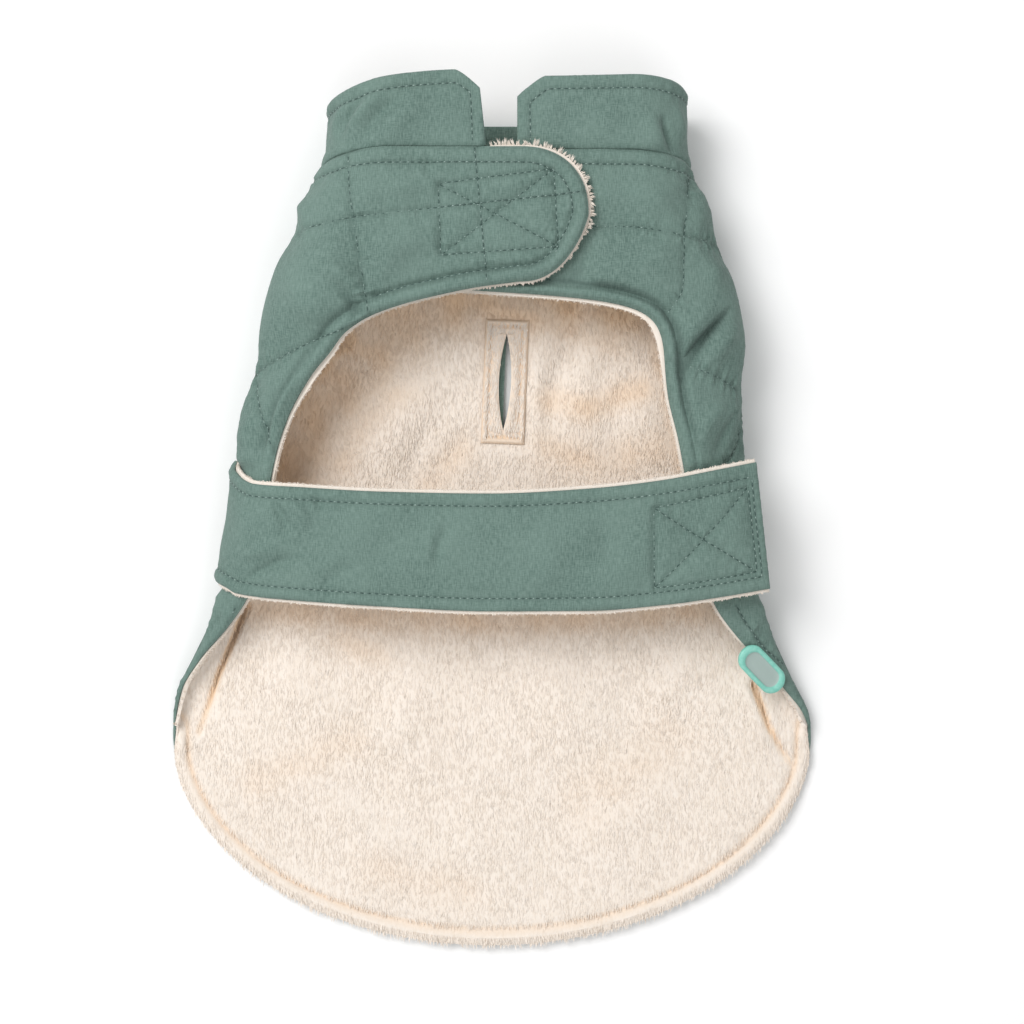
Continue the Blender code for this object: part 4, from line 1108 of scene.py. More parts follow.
def strap_relief(flat):
    """How far the strap's cloth stands out. Flat places are (along, down) from its sewn upper corner."""
    along, down = flat[..., 0], flat[..., 1]
    length, width = STRAP_CUT
    rows = strap_rows()
    distance, run = nearest(flat, rows["topstitch"])
    from_edge = np.minimum(np.minimum(down, width - down), length - along)
    from_edge = np.clip(from_edge, 0.0, None)
    box, box_distance = sewn(flat, rows["box"], STRAP_BOX_PUFF)
    in_box = smooth_step((along - (length - STRAP_BOX[0] - STRAP_BOX[1] - 4.0)) / 4.0)
    body = (1 - hump(distance, 6.0)) * (1 - in_box) + box * in_box
    relief = hemmed(body, from_edge, STRAP_STITCH, distance, run, 0.35)
    relief = relief + CREASE_DEPTH * creases(flat, STRAP_CREASES)
    relief = relief + undulation(flat, 36.0, 0.9, 0.2) * smooth_step(from_edge / 3.0)
    # painted shade along the rows of stitches
    stitched = np.maximum(hump(distance, STITCH_SHADE_HALF_WIDTH), hump(box_distance, STITCH_SHADE_HALF_WIDTH) * in_box)
    return relief - 0.7 * hump(from_edge, 0.8), stitched


def strap_rows():
    """The strap's rows of stitches: round its two long edges and its free end, and the crossed box."""
    length, width = STRAP_CUT
    m = STRAP_STITCH
    end = length - STRAP_END_STITCH
    topstitch = np.array([[0.0, m], [end, m], [end, width - m], [0.0, width - m]])
    left = length - STRAP_BOX[0] - STRAP_BOX[1]
    right = length - STRAP_BOX[1]
    a, b, c, d = STRAP_BOX_INSET
    box = box_paths(((left, a), (right, b), (right, width - c), (left, width - d)))
    return {"topstitch": topstitch, "box": box}


def on_grid(face, out, flat, size):
    """Points and directions read from two grids by flat place; size is the flat size of the whole grid."""
    rows, columns = face.shape[:2]
    r = np.clip(flat[..., 0] / size[0] * (rows - 1), 0, rows - 1.001)
    c = np.clip(flat[..., 1] / size[1] * (columns - 1), 0, columns - 1.001)
    i, j = r.astype(int), c.astype(int)
    a, b = (r - i)[..., None], (c - j)[..., None]
    return blended(face, i, j, a, b), unit(blended(out, i, j, a, b))


# ---- stitches, and the pile of the plush ----

def unbroken(rows):
    """Rows split wherever two places that follow each other are further apart than they were sampled."""
    parts = []
    for points, out in rows:
        gap = np.linalg.norm(np.diff(points, axis=0), axis=-1) > LONGEST_STEP
        starts = np.concatenate([[0], np.flatnonzero(gap) + 1, [len(points)]])
        parts += [(points[a:b], out[a:b]) for a, b in zip(starts[:-1], starts[1:]) if b - a > 3]
    return parts


def sew(rows, part):
    """One part of every stitch along rows of 3-D places: a spindle of five sides, laid along the row.

    rows is a list of (points, outward directions). part is (place in the pitch, length, radius).
    """
    offset, size, radius = part
    centres, runs, outs = [], [], []
    for points, out in unbroken(rows):
        length = lengths(points)
        count = int(length[-1] / STITCH_PITCH)
        if count < 1:
            continue
        at = (np.arange(count) + 0.5) * length[-1] / count + offset
        near, far = (read_at(at + end, length, points) for end in (-size / 2, size / 2))
        centres.append((near + far) / 2)
        runs.append(far - near)
        outs.append(read_at(at, length, out))
    run = np.vstack(runs)
    whole = np.abs(np.linalg.norm(run, axis=-1) - size) < 0.3
    centre, run, out = np.vstack(centres)[whole], unit(run[whole]), np.vstack(outs)[whole]
    out = unit(out - run * (out * run).sum(-1, keepdims=True))
    side = np.cross(run, out)
    along, wide = np.array(SPINDLE).T[:, None, :, None]
    turn = np.linspace(0.0, 2 * np.pi, 6)[:-1, None]
    arched = 0.16 * (1 - along ** 2) - 0.05
    base = centre[:, None] + run[:, None] * (along * size / 2) + out[:, None] * arched
    ring = side[:, None] * np.cos(turn) + out[:, None] * np.sin(turn) * 0.8
    points = base[:, :, None] + ring[:, None] * wide[:, :, None] * radius
    points = points.reshape(len(centre), -1, 3)
    points[..., 2] = np.maximum(points[..., 2], 0.03)
    return repeated(points, tube_faces(len(SPINDLE), 5)[:, ::-1])


def tube_faces(stations, around):
    """Quads between the rings of a tube, whose points run round each ring and then on to the next."""
    ring = np.arange(stations - 1)[:, None] * around
    k = np.arange(around)
    a, b = (ring + k).ravel(), (ring + (k + 1) % around).ravel()
    return np.stack([a, b, b + around, a + around], axis=1)


def repeated(points, faces):
    """Join many copies of a small mesh: points is (copy, vertex, xyz) and faces belongs to one copy."""
    copies, size = points.shape[:2]
    joined = faces[None] + (np.arange(copies) * size)[:, None, None]
    return points.reshape(-1, 3), joined.reshape(-1, faces.shape[1])


def blades(root, lean, out, length, width):
    """Fibres: each is a narrow leaf of three triangles that starts at its root and bends over to its lean.

    Its middle lies at root + length (0.55 lean + 0.16 out), and its tip at root + length (0.98 lean + 0.12
    out). Its points are shaded by a direction near out, turned a little by chance.
    """
    side = unit(np.cross(lean, out)) * width[:, None] / 2
    middle = root + (lean * 0.55 + out * 0.16) * length[:, None]
    tip = root + (lean * 0.98 + out * 0.12) * length[:, None]
    points = np.stack([root - side, root + side, middle + side * 0.85, middle - side * 0.85, tip], axis=1)
    points[..., 2] = np.maximum(points[..., 2], 0.1)
    faces = np.array([(0, 1, 2), (0, 2, 3), (3, 2, 4)])
    soft = unit(out - lean * 0.22 + side / width[:, None] * rng.normal(0.0, 0.5, len(root))[:, None])
    return (*repeated(points, faces), np.repeat(soft, 5, axis=0))


def scatter(count, low, high):
    """Numbers spread evenly by chance between low and high."""
    return rng.uniform(low, high, count)


def edge_fibres(points, out, away, per_mm, reach):
    """Fibres that point away from an edge, in tufts that lean, rise and reach by chance."""
    length = lengths(points)
    count = int(length[-1] * per_mm)
    at = np.sort(scatter(count, 0.0, length[-1]))
    run = unit(np.gradient(points, axis=0))
    place = read_at(at, length, points)
    up, aside, forward = (unit(read_at(at, length, values)) for values in (out, away, run))
    tuft = (at / TUFT).astype(int)
    in_tuft = at - (tuft + 0.5) * TUFT
    lean_of = rng.normal(0.0, 0.5, tuft.max() + 1)
    rise_of = rng.normal(0.15, 0.45, tuft.max() + 1)
    size_of = rng.uniform(0.45, 1.2, tuft.max() + 1)
    size = np.interp(at, length, np.broadcast_to(reach, len(points)))
    size = size * size_of[tuft] * scatter(count, 0.8, 1.1)
    ahead = lean_of[tuft] - 0.7 * in_tuft / np.maximum(size, 0.6) + rng.normal(0, 0.12, count)
    lean = aside + forward * ahead[:, None] + up * (rise_of[tuft] + rng.normal(0.0, 0.2, count))[:, None]
    start = place + up * scatter(count, -0.8, 0.8)[:, None] - aside * scatter(count, 0.1, 0.6)[:, None]
    return blades(start, unit(lean), up, size, scatter(count, 0.13, 0.26))


def nap(points, out, size):
    """Pile lying down the coat: one leaf for each point, turned a little by chance and in patches."""
    count = len(points)
    lay = down_the_coat(out)
    side = np.cross(out, lay)
    swirl = undulation(points[:, :2], 21.0, 0.14, 0.4) + rng.normal(0.0, 0.15, count)
    lean = unit(lay + side * swirl[:, None] + out * scatter(count, -0.05, 0.03)[:, None])
    return blades(points, lean, out, size * scatter(count, 0.7, 1.3), scatter(count, 0.24, 0.46))


def joined(parts):
    """Several meshes of one face size put together, with the direction that each point is shaded by."""
    points, faces, shading, start = [], [], [], 0
    for some_points, some_faces, some_shading in parts:
        points.append(some_points)
        faces.append(some_faces + start)
        shading.append(some_shading)
        start += len(some_points)
    return np.vstack(points), np.vstack(faces), np.vstack(shading)


# ---- finishes ----

def start_material(name, colour, roughness, sheen=0.0, specular=0.3):
    """A material with its one Principled shader set up."""
    made = bpy.data.materials.new(name)
    made.use_nodes = True
    tree = made.node_tree
    shader = tree.nodes["Principled BSDF"]
    shader.inputs["Base Color"].default_value = (*colour, 1.0)
    shader.inputs["Roughness"].default_value = roughness
    shader.inputs["Specular IOR Level"].default_value = specular
    shader.inputs["Sheen Weight"].default_value = sheen
    shader.inputs["Sheen Roughness"].default_value = 0.45
    return made, tree, shader


def stretched_noise(tree, source, feature, detail=2.0):
    """Noise whose spots measure feature = (x, y, z) millimetres, on the flat cut or on the object."""
    if source == "flat":
        coords = tree.nodes.new("ShaderNodeUVMap")
        coords.uv_map = "flat"
        out = coords.outputs["UV"]
    else:
        out = tree.nodes.new("ShaderNodeTexCoord").outputs["Object"]
    mapping = tree.nodes.new("ShaderNodeMapping")
    mapping.inputs["Scale"].default_value = [1.0 / (size * MM) for size in feature]
    tree.links.new(out, mapping.inputs["Vector"])
    noise = tree.nodes.new("ShaderNodeTexNoise")
    noise.inputs["Scale"].default_value = 1.0
    noise.inputs["Detail"].default_value = detail
    tree.links.new(mapping.outputs["Vector"], noise.inputs["Vector"])
    return noise.outputs["Fac"]


def spread(tree, value, low, high, to_low=0.0, to_high=1.0):
    """A value's range stretched to another one."""
    node = tree.nodes.new("ShaderNodeMapRange")
    for name, number in zip(("From Min", "From Max", "To Min", "To Max"), (low, high, to_low, to_high)):
        node.inputs[name].default_value = number
    tree.links.new(value, node.inputs["Value"])
    return node.outputs["Result"]


def blend_colour(tree, share, first, second):
    """Mix two colours, each a tuple or another node's output, by a share from a node."""
    node = tree.nodes.new("ShaderNodeMix")
    node.data_type = "RGBA"
    tree.links.new(share, node.inputs["Factor"])
    for socket, colour in zip((node.inputs[6], node.inputs[7]), (first, second)):
        if isinstance(colour, tuple):
            socket.default_value = (*colour, 1.0)
        else:
            tree.links.new(colour, socket)
    return node.outputs[2]


def weighted(tree, value, weight):
    """A value times a number."""
    node = tree.nodes.new("ShaderNodeMath")
    node.operation = "MULTIPLY"
    tree.links.new(value, node.inputs[0])
    node.inputs[1].default_value = weight
    return node.outputs[0]


def summed(tree, first, second):
    """The sum of two values."""
    node = tree.nodes.new("ShaderNodeMath")
    tree.links.new(first, node.inputs[0])
    tree.links.new(second, node.inputs[1])
    return node.outputs[0]


def marked(tree, name):
    """The number that mark() kept for each point under a name."""
    node = tree.nodes.new("ShaderNodeAttribute")
    node.attribute_name = name
    return node.outputs["Fac"]


def add_bump(tree, shader, height, distance, strength):
    """Fine unevenness from a height value; distance is in millimetres."""
    bump = tree.nodes.new("ShaderNodeBump")
    bump.inputs["Distance"].default_value = distance * MM
    bump.inputs["Strength"].default_value = strength
    tree.links.new(height, bump.inputs["Height"])
    tree.links.new(bump.outputs["Normal"], shader.inputs["Normal"])


def shell_finish():
    """Brushed plain-weave shell cloth: fine upright ribs crossed by fainter ones, slightly uneven dye, and
    painted shade along each row of stitches and, on the fronts, in the creases' hollows and the groove
    beside the arm's edge."""
    made, tree, shader = start_material("shell cloth", SHELL_GREEN, 0.86, sheen=0.08, specular=0.2)
    rib = stretched_noise(tree, "flat", (0.5, 3.2, 1.0), 1.0)
    cross = stretched_noise(tree, "flat", (2.2, 0.5, 1.0), 1.0)
    cloud = stretched_noise(tree, "flat", (22.0, 30.0, 24.0), 3.0)
    grain = summed(tree, weighted(tree, rib, 0.62), weighted(tree, cross, 0.38))
    colour = blend_colour(tree, spread(tree, cloud, 0.35, 0.65), SHELL_GREEN_DEEP, SHELL_GREEN)
    colour = blend_colour(tree, spread(tree, grain, 0.36, 0.64, 0.0, 0.85), colour, SHELL_GREEN_LIGHT)
    # painted shade along the rows of stitches and in the creases' hollows and grooves
    colour = blend_colour(tree, weighted(tree, marked(tree, "stitched"), 0.24), colour, SHELL_SHADE)
    tree.links.new(colour, shader.inputs["Base Color"])
    tree.links.new(spread(tree, grain, 0.3, 0.7, 0.92, 0.78), shader.inputs["Roughness"])
    crumple = stretched_noise(tree, "flat", (6.0, 7.0, 6.0), 3.0)
    add_bump(tree, shader, summed(tree, grain, weighted(tree, crumple, 1.8)), 0.32, 0.75)
    return made


def plush_finish():
    """Short plush: pile that lies in streaks down the coat, lighter and darker in patches; the turned mark
    paints shade and the tone of turned nap, and past 1 paints deeper shade.
    """
    made, tree, shader = start_material("plush pile", PLUSH_CREAM, 0.95, sheen=0.25, specular=0.1)
    streak = stretched_noise(tree, "object", (1.1, 6.5, 1.1), 3.0)
    patch = stretched_noise(tree, "object", (15.0, 24.0, 15.0), 3.0)
    speck = stretched_noise(tree, "object", (0.5, 1.2, 0.5), 1.0)
    tone = summed(tree, weighted(tree, streak, 0.7), weighted(tree, patch, 0.3))
    colour = blend_colour(tree, spread(tree, tone, 0.30, 0.60), PLUSH_SHADE, PLUSH_CREAM)
    colour = blend_colour(tree, spread(tree, speck, 0.5, 0.75, 0.0, 0.35), colour, PLUSH_LIGHT)
    # painted shade: the turned mark blends towards a warm tone along edges, folds and grooves and over
    # patches of turned nap, and past 1 towards deep brown in the deepest folds
    turned = marked(tree, "turned")
    colour = blend_colour(tree, turned, colour, PLUSH_NAP_AND_SHADE_TONE)
    colour = blend_colour(tree, spread(tree, turned, 1.0, 2.0), colour, PLUSH_DEEP_SHADE)
    tree.links.new(colour, shader.inputs["Base Color"])
    add_bump(tree, shader, summed(tree, streak, weighted(tree, speck, 0.5)), 0.4, 0.35)
    return made


def mottled(tree, shader, noise, first, second):
    """Colour a shader by mixing two colours over the middle of a noise's range."""
    colour = blend_colour(tree, spread(tree, noise, 0.35, 0.65), first, second)
    tree.links.new(colour, shader.inputs["Base Color"])


def thread_finish(name, first, second):
    """Twisted sewing thread in two tones, a little shinier than the cloth."""
    made, tree, shader = start_material(name, first, 0.5, sheen=0.1, specular=0.4)
    twist = stretched_noise(tree, "object", (0.5, 0.5, 0.5), 1.0)
    mottled(tree, shader, twist, first, second)
    return made


def tape_finish():
    """Hook or loop tape: a bristly dark weave."""
    made, tree, shader = start_material("fastening tape", TAPE, 0.9, sheen=0.3)
    loops = stretched_noise(tree, "object", (0.7, 0.7, 0.7), 2.0)
    mottled(tree, shader, loops, TAPE, TAPE_LIGHT)
    add_bump(tree, shader, loops, 0.5, 0.8)
    return made


def rubber_finish():
    """Moulded rubber tag: a clear green rim round a pale core, faintly mottled."""
    made, tree, shader = start_material("moulded rubber", TAG_RIM, 0.42, specular=0.5)
    mottle = stretched_noise(tree, "object", (2.0, 2.0, 2.0), 2.0)
    rim = blend_colour(tree, spread(tree, mottle, 0.35, 0.65, 0.0, 0.5), TAG_RIM, TAG_RIM_LIGHT)
    tree.links.new(blend_colour(tree, marked(tree, "core"), rim, TAG_CORE), shader.inputs["Base Color"])
    add_bump(tree, shader, mottle, 0.15, 0.3)
    return made


# ---- pieces ----


def from_slit(across, along):
    """Plan (x, y) of places measured across and along the leaning slit from its centre."""
    x = across * np.cos(SLIT_LEAN) - along * np.sin(SLIT_LEAN)
    y = across * np.sin(SLIT_LEAN) + along * np.cos(SLIT_LEAN)
    return SLIT_CENTRE[0] + x, SLIT_CENTRE[1] + y


def to_slit(x, y):
    """How far plan places lie across and along the leaning slit from its centre."""
    dx, dy = x - SLIT_CENTRE[0], y - SLIT_CENTRE[1]
    return dx * np.cos(SLIT_LEAN) + dy * np.sin(SLIT_LEAN), dy * np.cos(SLIT_LEAN) - dx * np.sin(SLIT_LEAN)


def slit_bow(along):
    """Share of the slit's width: the parabola 1 - (2 along / length)^2, and 0 past its two points."""
    return np.clip(1 - (2 * along / SLIT_LENGTH) ** 2, 0, 1)


def slit_outline(lip):
    """The leash slit's outline: a lens of two parabolas, which a lip narrows on the left."""
    along = np.linspace(-SLIT_LENGTH / 2, SLIT_LENGTH / 2, 41)
    bow = slit_bow(along)
    right = np.stack(from_slit(SLIT_WIDTH / 2 * bow, along), axis=-1)
    left = np.stack(from_slit((lip - SLIT_WIDTH / 2) * bow, along), axis=-1)
    return np.concatenate([right[:-1], left[:0:-1]])


def cut_slit(piece, lip=0.0):
    """Take the slit's tall lens out of a piece, and keep the cut mesh."""
    outline = slit_outline(lip)
    count = len(outline)
    points = np.vstack([np.column_stack([outline, np.full(count, z)]) for z in SLIT_TOOL_HEIGHTS]) * MM
    near = np.arange(count)
    ahead = np.roll(near, -1)
    walls = np.stack([near, ahead, ahead + count, near + count], axis=1)
    mesh = bpy.data.meshes.new("slit tool")
    mesh.from_pydata(points.tolist(), [], [near[::-1].tolist(), (near + count).tolist(), *walls.tolist()])
    tool = bpy.data.objects.new("slit_tool", mesh)
    bpy.context.scene.collection.objects.link(tool)
    cut = piece.modifiers.new("slit", "BOOLEAN")
    cut.operation = "DIFFERENCE"
    cut.solver = "EXACT"
    cut.object = tool
    bpy.context.view_layer.update()
    ready = bpy.data.meshes.new_from_object(piece.evaluated_get(bpy.context.evaluated_depsgraph_get()))
    piece.modifiers.clear()
    piece.data = ready
    bpy.data.objects.remove(tool, do_unlink=True)


def in_facing(x, y, margin=0.0):
    """Share by which a place lies on the slit's facing, soft over a few millimetres."""
    across, along = to_slit(x, y)
    beside = FACING_SIZE[0] / 2 + margin - np.abs(across)
    ends = FACING_SIZE[1] / 2 + margin - np.abs(along)
    return smooth_step(beside / 3.0) * smooth_step(ends / 3.0)


def lining_relief(flat, hem):
    """How far the back's plush stands up: broad soft folds, a plump rolled hem and a groove beside it."""
    girth, y = flat[..., 0], flat[..., 1]
    crease = both_sides("crease", girth, y)
    level = smooth_step((crease - np.abs(girth) + 2.0) / 14.0) * smooth_step((neck_y(girth) - 4.0 - y) / 8.0)
    from_hem, along = nearest(flat, hem)
    low_wings = 1 - smooth_step((np.abs(girth) - crease + 12.0) / 8.0) * smooth_step((y + 96.0) / 8.0)
    fold = wing_valley(flat, 1.5) - 0.45 * wing_valley(flat, 6.0)
    soft = undulation(flat, 58.0, 0.9, 0.25) + undulation(flat, 24.0, 0.2, -0.5)
    soft = soft + creases(flat, LINING_FOLDS)
    soft = (soft + 0.5) * level * (1 - in_facing(girth, y, 4.0)) * smooth_step((from_hem - 5.0) / 9.0)
    roll = 1.5 * np.sin(np.pi * np.clip(from_hem / HEM_STITCH, 0.0, 1.0)) ** 0.7
    uneven = 1.0 + 0.16 * np.sin(along * 0.21 + np.sin(along * 0.083))
    beyond = 0.7 * hump(from_hem - 9.0, 3.0)
    hem_part = (roll * uneven + beyond - 0.8 * hump(from_hem - HEM_STITCH, 1.1)) * low_wings
    return soft + hem_part - 0.7 * hump(from_hem, 0.9) * low_wings - WING_DEPTH * fold


def wing_valley(places, half_width):
    """1 along the folds beside the turned-up sides below the strap, and 0 away from them."""
    share = np.zeros(places.shape[:-1])
    for path in WING_VALLEYS:
        distance, along = nearest(places, path)
        length = np.hypot(*np.diff(np.array(path), axis=0).T).sum()
        fade = 0.3 + 0.7 * smooth_step((length - along) / WING_FADE)
        share = np.maximum(share, fade * hump(distance, half_width))
    return share


def scattered(count, face, *grids):
    """Places spread evenly by chance over a grid of points, and what the other grids hold there."""
    across = face[:-1, 1:] - face[:-1, :-1]
    down = face[1:, :-1] - face[:-1, :-1]
    area = np.linalg.norm(np.cross(across, down), axis=-1)
    picked = rng.choice(area.size, count, p=area.ravel() / area.sum())
    i, j = np.divmod(picked, area.shape[1])
    a, b = rng.random((count, 1)), rng.random((count, 1))
    return [blended(grid, i, j, a, b) for grid in (face, *grids)]


def down_the_coat(out):
    """The way that the pile lies: towards the hem, along the face."""
    lay = np.zeros_like(out)
    lay[:, 1] = -1.0
    return unit(lay - out * (lay * out).sum(-1, keepdims=True))


def fibres_piece(name, parts):
    """One piece of fibres, in the plush finish."""
    points, faces, shading = joined(parts)
    piece = make_mesh(name, points, faces, PLUSH)
    piece.data.normals_split_custom_set_from_vertices(shading.tolist())
    return piece


def nap_patches_and_painted_shade(x, y):
    """Share by which the back's pile is darkened: the strongest of the listed bands, which are painted shade
    along the opening's edges and in the strap's shadow and patches where the pile is turned away, and deeper
    painted shade in the crease where the turned-up sides begin."""
    places = np.stack([x, y], axis=-1)
    share = np.zeros(x.shape)
    for path, reach, strength in NAP_PATCHES_AND_PAINTED_SHADE:
        distance, _ = nearest(places, path)
        share = np.maximum(share, strength * hump(distance, reach))
    uneven = 0.85 + 0.3 * undulation(places, 19.0, 1.0, 0.7)
    return np.maximum(share * uneven, 1.9 * wing_valley(places, 1.15))


def make_back():
    """Back shell and plush, both with the leash slit, with the pile and the hem's fibres."""
    flat = back_pattern(*BACK_SHELL_GRID, SHELL_SIDE_GAP, 0.0)
    outer = bent(flat, 0.0, back_relief(flat))
    outer[..., 2] = np.maximum(outer[..., 2], 0.0)
    shell = cloth("back_cloth", outer, bent(flat, SHELL), flat, SHELL_CLOTH)
    cut_slit(shell, SLIT_LIP)
    rounded(shell, 0.6, 2)
    seated(shell, ["back_shell"])

    flat = back_pattern(*BACK_PLUSH_GRID, LINING_SIDE_GAP, RIM)
    hem = flat[-1, 3:-3:2]
    relief = lining_relief(flat, hem)
    under = bent(flat, SHELL + SEAM_GAP)
    over = bent(flat, SHELL + SEAM_GAP + PILE, -relief)
    # painted shade, with the tint of turned nap, for the back's plush
    turned = nap_patches_and_painted_shade(over[..., 0], over[..., 1])
    from_hem, _ = nearest(flat, hem)
    # painted shade in the groove at the hem's row of stitches
    turned = np.maximum(turned, 0.55 * hump(from_hem - HEM_STITCH, 1.3))
    lining = cloth("back_plush", under, over, flat, PLUSH, turned, "turned")
    cut_slit(lining)
    rounded(lining, 0.9, 3)
    seated(lining, ["back_lining"])

    up = inward(flat[..., 0], flat[..., 1])
    place, out, shade = scattered(BACK_PILE_TRIED, over, up, turned[..., None])
    shown = (place[:, 1] < BACK_PILE_TOP) & (in_facing(place[:, 0], place[:, 1], -1.0) < 0.5)
    shown = np.flatnonzero(shown)[:BACK_PILE]
    pile = fibres_piece("back_pile", [nap(place[shown], unit(out[shown]), BACK_NAP)])
    # the pile carries the same painted shade
    mark(pile.data, "turned", np.repeat(shade[shown, 0], 5))
    seated(pile, [])
    edge = (under[-1] + over[-1]) / 2
    away = unit(over[-1] - over[-3])
    away[:, 2] = 0.0
    fringe = fibres_piece("hem_fibres", [edge_fibres(edge, up[-1], unit(away), *HEM_FRINGE)])
    seated(fringe, [])
    return shell, lining


def make_facing():
    """The plush rectangle round the slit, its edge rolled under and stitched down."""
    width, length = FACING_SIZE
    columns, rows = FACING_GRID
    across, along = np.meshgrid(np.linspace(-width / 2, width / 2, columns),
                                np.linspace(-length / 2, length / 2, rows))
    flat = np.stack([across, along], axis=-1)
    x, y = from_slit(across, along)
    floor = SHELL + SEAM_GAP + PILE + SEAM_GAP
    from_edge = np.minimum(width / 2 - np.abs(across), length / 2 - np.abs(along))
    beside_slit = np.abs(across) - SLIT_WIDTH / 2 * slit_bow(along)
    beside_slit = np.where(np.abs(along) < SLIT_LENGTH / 2, beside_slit, 5.0)
    top = floor + FACING_THICK + 0.55 * np.sin(np.pi * np.clip(from_edge / 2.6, 0.0, 1.0))
    top = top - 0.45 * hump(from_edge - FACING_STITCH, 0.7) - 0.5 * hump(from_edge, 0.7)
    top = top + 0.9 * hump(beside_slit - 1.6, 1.5) + undulation(flat, 13.0, 0.18)
    over = np.stack([x, y, top], axis=-1)
    under = np.stack([x, y, np.full_like(x, floor)], axis=-1)
    # painted shade at the stitched dip and at the edge, over an even warmer tint
    turned = 0.3 + 0.6 * hump(from_edge - FACING_STITCH, 0.9) + 0.4 * hump(from_edge, 0.9)
    facing = cloth("slit_facing_plush", under, over, flat, PLUSH, np.clip(turned, 0.0, 1.0), "turned")
    cut_slit(facing)
    rounded(facing, 0.4, 2)
    seated(facing, ["slit_facing"])

    up = np.zeros_like(over)
    up[..., 2] = 1.0
    place, out = scattered(FACING_PILE_TRIED, over, up)
    across, along = to_slit(place[:, 0], place[:, 1])
    clear = np.abs(across) > (SLIT_WIDTH / 2 + 0.2) * slit_bow(along) + 0.4
    clear &= (np.abs(across) < width / 2 - 0.8) & (along > 3.0 - length / 2)
    pile = fibres_piece("facing_pile", [nap(place[clear], out[clear], FACING_NAP)])
    seated(pile, [])


def make_front(side):
    """One front: swelled shell, plush that shows past its free edge, and the fibres along that edge."""
    flat = front_pattern(side, FRONT_RIBS, FRONT_COLUMNS, SHELL_SIDE_GAP, 0.0)
    places = to_across(side, flat)
    relief, stitched = front_relief(side, places)
    outer = bent(flat, 0.0, relief)
    shell = cloth(side + "_front_cloth", outer, bent(flat, SHELL), places, SHELL_CLOTH, stitched)
    rounded(shell, 0.7, 2)
    seated(shell, [side + "_front_shell"])

    flat = front_pattern(side, FRONT_PLUSH_RIBS, FRONT_PLUSH_COLUMNS, LINING_SIDE_GAP, FRONT_RIM)
    places = to_across(side, flat)
    from_edge, along = nearest(places, LINES[side]["edge"])
    plump = 0.35 * hump(from_edge, 2.4) * (1.0 + 0.3 * np.sin(along * 0.5))
    under = bent(flat, SHELL + SEAM_GAP)
    over = bent(flat, SHELL + SEAM_GAP + PILE, -plump * free_cloth(side, places))
    plush = cloth(side + "_front_plush", under, over, flat, PLUSH)
    rounded(plush, 0.9, 3)
    seated(plush, [side + "_front_lining"])

    edge = LINES[side]["plush_edge"]
    up = -inward(edge[:, 0], edge[:, 1])
    middle = bent(edge, SHELL + SEAM_GAP + PILE / 2)
    away = -unit(np.cross(unit(np.gradient(middle, axis=0)), up)) * FRONTS[side]["sign"]
    across, y = to_across(side, edge).T
    shaggy = smooth_step((6.0 - across) / 6.0) * smooth_step((y - 112.0) / 8.0) * (side == "left")
    per_mm, reach = FRONT_FRINGE
    fringe = edge_fibres(middle, up, away, per_mm, reach + SHAGGY_REACH * shaggy)
    face_up = inward(flat[..., 0], flat[..., 1])
    place, out, inset = scattered(FRONT_PILE_TRIED, over, face_up, from_edge[..., None])
    grown = inset[:, 0] > FRONT_NAP_INSET
    fibres = fibres_piece(side + "_front_pile", [fringe, nap(place[grown], unit(out[grown]), FRONT_NAP)])
    seated(fibres, [])
    return shell


def make_collar():
    """The stand collar, one folded wall of shell cloth."""
    flat = collar_pattern(*COLLAR_GRID)
    relief, stitched = collar_relief(flat)
    outer = bent(flat, 0.0, relief)
    outer[..., 2] = np.maximum(outer[..., 2], 0.0)
    collar = cloth("collar_cloth", outer, bent(flat, COLLAR_WALL), flat, SHELL_CLOTH, stitched)
    rounded(collar, 1.1, 3)
    seated(collar, ["collar"])


def strap_flat(rows, columns, rim):
    """Flat (along, down) places of the strap's grid, widened by a rim at both long edges."""
    along = np.linspace(0, STRAP_CUT[0], rows + 1)
    down = np.linspace(-rim, STRAP_WIDTH + rim, columns + 1)
    return np.stack(np.meshgrid(along, down, indexing="ij"), axis=-1)


def make_strap():
    """The belly strap: swelled shell over plush that shows past both long edges."""
    face = strap_face(*STRAP_SHELL_GRID)
    inside = face_inward(face)
    flat = strap_flat(*STRAP_SHELL_GRID, 0.0)
    relief, stitched = strap_relief(flat)
    outer = face - inside * relief[..., None]
    shell = cloth("strap_cloth", outer, face + inside * STRAP_SHELL, flat, SHELL_CLOTH, stitched)
    rounded(shell, 0.6, 2)
    seated(shell, ["belly_strap_shell"])

    face = strap_face(*STRAP_PLUSH_GRID)
    inside = face_inward(face)
    face[:, 0] += unit(face[:, 0] - face[:, 1]) * STRAP_RIM
    face[:, -1] += unit(face[:, -1] - face[:, -2]) * STRAP_RIM
    flat = strap_flat(*STRAP_PLUSH_GRID, STRAP_RIM)
    top = face + inside * (STRAP_SHELL + SEAM_GAP)
    low = face + inside * (STRAP_SHELL + SEAM_GAP + STRAP_PILE)
    plush = cloth("strap_plush", top, low, flat, PLUSH)
    rounded(plush, 0.7, 3)
    seated(plush, ["belly_strap_lining"])
    middle = (top + low) / 2
    parts = []
    for edge, inner in ((middle[:, 0], middle[:, 1]), (middle[:, -1], middle[:, -2])):
        parts.append(edge_fibres(edge, -inside[:, 0], unit(edge - inner), *STRAP_FRINGE))
    fringe = fibres_piece("strap_fibres", parts)
    seated(fringe, [])


